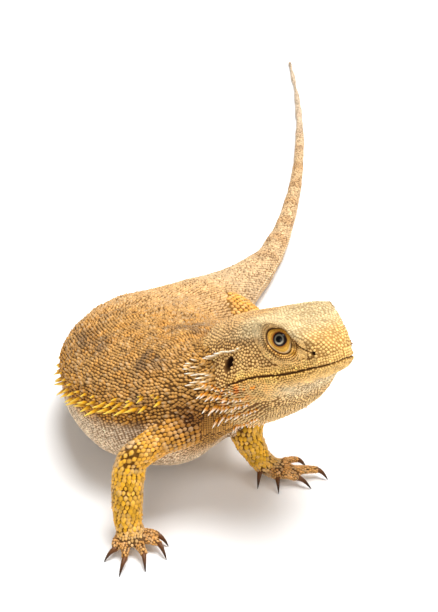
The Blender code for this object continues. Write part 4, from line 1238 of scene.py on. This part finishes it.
def flank_spines():
    """Three rows of long spines along both flanks, which climb towards the shoulder."""
    draw = random.Random(3)
    table = np.array(TRUNK)
    knots = distances(table[:, :3])
    wanted = []
    for row, (count, lift, size) in enumerate(FLANK_ROWS):
        at = np.linspace(knots[2] + 0.7, knots[7] + 0.1, count) + 0.07 * row
        line = centre_line(TRUNK, s=at)
        for i in range(count):
            climb = 1.20 * max(1 - i / (0.45 * count), 0)
            for hand in (1, -1):
                point = (line["centre"][i] + line["side"][i] * hand * line["size"][i, 0] * 1.05
                         + np.array((0, 0, lift + climb + draw.uniform(-0.05, 0.05))))
                length = (0.58 if 1 < i < 0.5 * count else 0.34) * size * draw.uniform(0.75, 1.15)
                back = line["along"][i] + np.array((0, 0, draw.uniform(-1.2, -0.5)))
                wanted.append((point, (0.9, 1.0), back, length, 0.072 * (0.6 + 0.5 * size)))
    return wanted


def beard_spines():
    """Rows over the beard, each from its first to its last place behind the snout, to the side and up."""
    draw = random.Random(5)
    ahead, left, up = AXES
    wanted = []
    rows = [
        ((3.5, 4.85, 10), (2.05, 2.36), (-1.20, -0.98), 0.24),
        ((3.25, 4.85, 12), (1.98, 2.32), (-1.40, -1.32), 0.31),
        ((3.1, 4.85, 12), (1.84, 2.2), (-1.62, -1.68), 0.34),
        ((3.1, 4.80, 12), (1.66, 2.0), (-1.88, -2.05), 0.32),
        ((3.5, 4.70, 9), (1.30, 1.6), (-2.12, -2.38), 0.26),
        ((3.7, 4.4, 6), (0.85, 1.1), (-2.30, -2.62), 0.22),
    ]
    for (first, last, count), (w1, w2), (u1, u2), size in rows:
        for i in range(count):
            t = i / (count - 1)
            for side in (1, -1):
                back = first + (last - first) * t + draw.uniform(-0.05, 0.05)
                w = w1 + (w2 - w1) * t
                u = u1 + (u2 - u1) * t + draw.uniform(-0.05, 0.05)
                aim = -ahead - up * 0.85 + left * side * 0.3
                length = size * (0.55 + 0.65 * t) * draw.uniform(0.8, 1.15)
                wanted.append((on_head((-back, side * w, u)), (0.75, 1.0), aim, length, 0.058))
    return wanted


def nape_spines():
    """The pale spines in a row over the ear, and the group behind the jaw: back, side, up and length."""
    draw = random.Random(7)
    ahead, left, up = AXES
    wanted = []
    ridge = [
        (3.30, 1.78, 0.26, 0.18), (3.45, 1.80, 0.22, 0.22), (3.60, 1.83, 0.19, 0.24),
        (3.72, 1.85, 0.16, 0.26), (3.86, 1.87, 0.13, 0.27), (4.00, 1.88, 0.10, 0.28),
        (4.14, 1.90, 0.07, 0.30), (4.27, 1.93, 0.04, 0.32), (4.40, 1.95, 0.0, 0.33),
        (4.52, 1.98, -0.04, 0.36), (4.64, 2.0, -0.09, 0.36), (4.72, 2.02, -0.14, 0.40),
    ]
    group = [
        (4.55, 2.25, -0.62, 0.36), (4.70, 2.28, -0.55, 0.36), (4.78, 2.30, -0.78, 0.42),
        (4.62, 2.3, -0.88, 0.36), (4.90, 2.28, -0.66, 0.40), (4.95, 2.3, -0.95, 0.44),
        (5.10, 2.25, -0.80, 0.40), (4.80, 2.33, -1.10, 0.44), (5.25, 2.1, -0.55, 0.36),
        (5.40, 2.1, -0.95, 0.38), (5.30, 2.1, -1.30, 0.38), (5.70, 1.9, -0.75, 0.34),
        (5.60, 2.0, -1.15, 0.36), (5.85, 1.9, -1.0, 0.34), (5.50, 1.95, -0.40, 0.30),
    ]
    for back, w, u, length in ridge + group:
        for side in (1, -1):
            aim = -ahead - up * (0.3 if u < -0.5 else 0.0) + left * side * 0.3
            place = on_head((-back, side * w, u + draw.uniform(-0.03, 0.03)))
            wanted.append((place, (0.6, 1.0), aim, length * draw.uniform(0.85, 1.1), 0.055))
    return wanted


def tail_spines():
    """A row of short spines on each side of the tail's root."""
    draw = random.Random(9)
    knots = distances(np.array(TRUNK)[:, :3])
    line = centre_line(TRUNK, s=np.linspace(knots[9] - 0.6, knots[12], 40))
    wanted = []
    for i in range(len(line["at"])):
        for hand in (1, -1):
            place = line["centre"][i] + line["side"][i] * hand * line["size"][i, 0] + np.array((0, 0, 0.1))
            wanted.append((place, (0.7, 1.0), line["along"][i], 0.15 * draw.uniform(0.8, 1.2), 0.035))
    return wanted


# Each kind's colours: two that its roots vary between, its middle's and its tip's
lay_spines("spines_flank", flank_spines(), ("#B06A10", "#8A4408"), "#FAB81C", "#FFE068", ["trunk"])
lay_spines("spines_beard", beard_spines(), ("#B4580C", "#A82C04"), "#F0A428", "#FFFBEE", ["head"])
lay_spines("spines_nape", nape_spines(), ("#B07C3C", "#9A6428"), "#E8C68C", "#FFFAEE", ["head", "trunk"])
lay_spines("spines_tail", tail_spines(), ("#C89858", "#B08048"), "#E6C28C", "#FFF0D2", ["trunk"])

# The eyes: balls of clear, wet cornea over a black pupil, a thin pale ring and a dark brown iris, held in
# their sockets by the lids. The rings are colours on the ball, by their distance from its axis.
PUPIL = 0.108
EYE_RINGS = [
    (0.0, "#020202"), (PUPIL, "#020202"), (PUPIL + 0.008, "#CFC2A6"), (0.150, "#E6DABC"),
    (0.172, "#94826C"), (0.188, "#241619"), (0.25, "#140B0D"), (0.4, "#140B0D"),
]
PALE_RING_END = 0.19
RING_SHADED = 0.16


def wet_cornea():
    """Cornea under a film of tears: colours that stay deep, with small sharp lights from the clear coat."""
    material, graph = new_material("wet_cornea")
    tint = add_node(graph, "ShaderNodeAttribute", {}, attribute_name="tint").outputs["Color"]
    set_inputs(graph, graph.nodes["Principled BSDF"], {
        "Base Color": tint, "Roughness": 0.35, "Specular IOR Level": 0.05,
        "Coat Weight": 0.3, "Coat Roughness": 0.02})
    return material


def make_eyes():
    cornea = wet_cornea()
    for side, name in ((1, "left"), (-1, "right")):
        centre = on_head(EYE * (1, side, 1))
        aim = unit((EYE_AIM * (1, side, 1)) @ AXES)
        turn = Vector(aim).to_track_quat("Z", "Y").to_matrix().to_4x4()
        bm = bmesh.new()
        place = Matrix.Translation(Vector(to_world(centre))) @ turn
        bmesh.ops.create_uvsphere(bm, u_segments=64, v_segments=90, radius=EYE_RADIUS * CM, matrix=place)
        obj = object_from(bm, f"eyeball_{name}")
        d = to_animal(rows_of(obj.data.vertices, "co")) - centre
        h = d @ aim
        r = np.linalg.norm(d - h[:, None] * aim, axis=1)
        at = [ring for ring, _ in EYE_RINGS]
        rings = np.array([linear(code) for _, code in EYE_RINGS])
        tint = np.column_stack([np.interp(r, at, rings[:, i]) for i in range(3)])
        # The brow shades the ring's upper half
        low = step(0.10, -0.10, (d @ AXES.T)[:, 2])
        pale = (r > PUPIL) & (r < PALE_RING_END)
        tint[pale] *= (RING_SHADED + (1 - RING_SHADED) * low[pale])[:, None]
        tint[h < 0] = rings[-1]
        set_tint(obj.data, tint)
        obj.data.materials.append(cornea)
        obj.data.shade_smooth()
        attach(obj, "root")
        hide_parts(f"eye_{name}")


make_eyes()

# The claws: curved, tapered sheaths of hard horn on the last bone of each toe, five to a foot. Each grows
# out of its toe, where its root is sunk, and its tip rests on the floor.
CLAW_RADIUS = 0.095
CLAW_SUNK = 0.06
CLAW_TIP = 0.008
CLAW_ARCH = 0.20
CLAW_BROWN = "#6B4324"
CLAW_BLACK = "#1C120C"
CLAW_UNDER = "#A8713A"
CLAW_GRAIN_MM = 0.8
CLAW_BUMP_MM = 0.04


def make_claws():
    # Worn horn, dark brown to black and paler under the root: smoother than the scales, with a satin light
    horn = keratin("claw_horn", 0.32, CLAW_GRAIN_MM, CLAW_BUMP_MM)
    for foot, toes in TOES.items():
        for number, (_, knuckle, root, tip) in enumerate(toes, 1):
            root = np.array(root)
            start = root - unit(root - np.array(knuckle)) * CLAW_SUNK
            end = np.array((*tip, 0.03))
            middle = (start + end) / 2 + np.array([0, 0, CLAW_ARCH])
            t = np.linspace(0, 1, 14)[:, None]
            path = (1 - t) ** 2 * start + 2 * t * (1 - t) * middle + t**2 * end
            radius = CLAW_RADIUS * (1 - t[:, 0]) ** 0.75 + CLAW_TIP
            stations = [(*p, r, r * 1.15, r * 1.15) for p, r in zip(path, radius)]
            bm = bmesh.new()
            rings = rings_round(centre_line(stations, count=16), round_angles(14))
            rings[..., 2] = np.maximum(rings[..., 2], MIDDLE[2])
            loft(bm, rings)
            obj = object_from(bm, f"horn_{foot}_{number}")
            p = to_animal(rows_of(obj.data.vertices, "co"))
            share = np.clip((p - start) @ (end - start) / ((end - start) @ (end - start)), 0, 1)[:, None]
            under = 0.6 * step(0.2, -0.8, rows_of(obj.data.vertices, "normal")[:, 2])[:, None] * (1 - share)
            tint = linear(CLAW_BROWN) * (1 - share) + linear(CLAW_BLACK) * share
            set_tint(obj.data, tint * (1 - under) + linear(CLAW_UNDER) * under)
            obj.data.materials.append(horn)
            obj.data.shade_smooth()
            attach(obj, "root")
            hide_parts(f"claw_{foot}_{number}")


make_claws()

# The studio that the model is shown in: a plain white floor, a broad softbox overhead, two small dim ones
# in front, to the right and left, and a faint pale sky. The camera looks down from the photo's side.
CAMERA_DISTANCE = 75.0
CAMERA_TILT = 38.0
CAMERA_LENS = 107.06
# Each softbox's place and size in metres, and its power in watts
SOFTBOXES = {"overhead": ((0.20, 0.05, 1.15), 0.7, 20.5), "right_box": ((0.95, -0.40, 0.65), 0.6, 4),
             "left_box": ((-0.35, -1.0, 0.55), 0.6, 3)}
FLOOR_WHITE = (0.95, 0.95, 0.95, 1)
SKY_COLOUR = (1.0, 0.99, 0.97, 1)
SKY_STRENGTH = 0.22


def make_floor():
    bm = bmesh.new()
    bmesh.ops.create_grid(bm, x_segments=1, y_segments=1, size=4)
    obj = object_from(bm, "floor")
    # Matt white paper: nothing shows on it but the soft shadows
    material, graph = new_material("white_floor")
    set_inputs(graph, graph.nodes["Principled BSDF"], {"Base Color": FLOOR_WHITE, "Roughness": 0.9})
    obj.data.materials.append(material)


def make_light(name, place, size, power):
    light = bpy.data.lights.new(name, "AREA")
    light.size = size
    light.energy = power
    obj = add_object(name, light)
    obj.location = place
    obj.rotation_euler = (-Vector(place)).to_track_quat("-Z", "Y").to_euler()


def make_camera():
    tilt = math.radians(CAMERA_TILT)
    aim = Vector((0, math.cos(tilt), -math.sin(tilt)))
    camera = bpy.data.cameras.new("camera")
    camera.lens = CAMERA_LENS
    camera.sensor_fit = "VERTICAL"
    camera.sensor_height = 36
    camera.clip_start = 0.01
    obj = add_object("camera", camera)
    obj.location = Vector(to_world((0, 0, 0))) - aim * CAMERA_DISTANCE * CM
    obj.rotation_euler = aim.to_track_quat("-Z", "Y").to_euler()
    bpy.context.scene.camera = obj


def make_sky():
    world = bpy.data.worlds.new("studio")
    world.use_nodes = True
    set_inputs(world.node_tree, world.node_tree.nodes["Background"],
               {"Color": SKY_COLOUR, "Strength": SKY_STRENGTH})
    bpy.context.scene.world = world


make_floor()
for softbox, (place, size, power) in SOFTBOXES.items():
    make_light(softbox, place, size, power)
make_sky()
bpy.context.scene.view_settings.view_transform = "Standard"
make_camera()
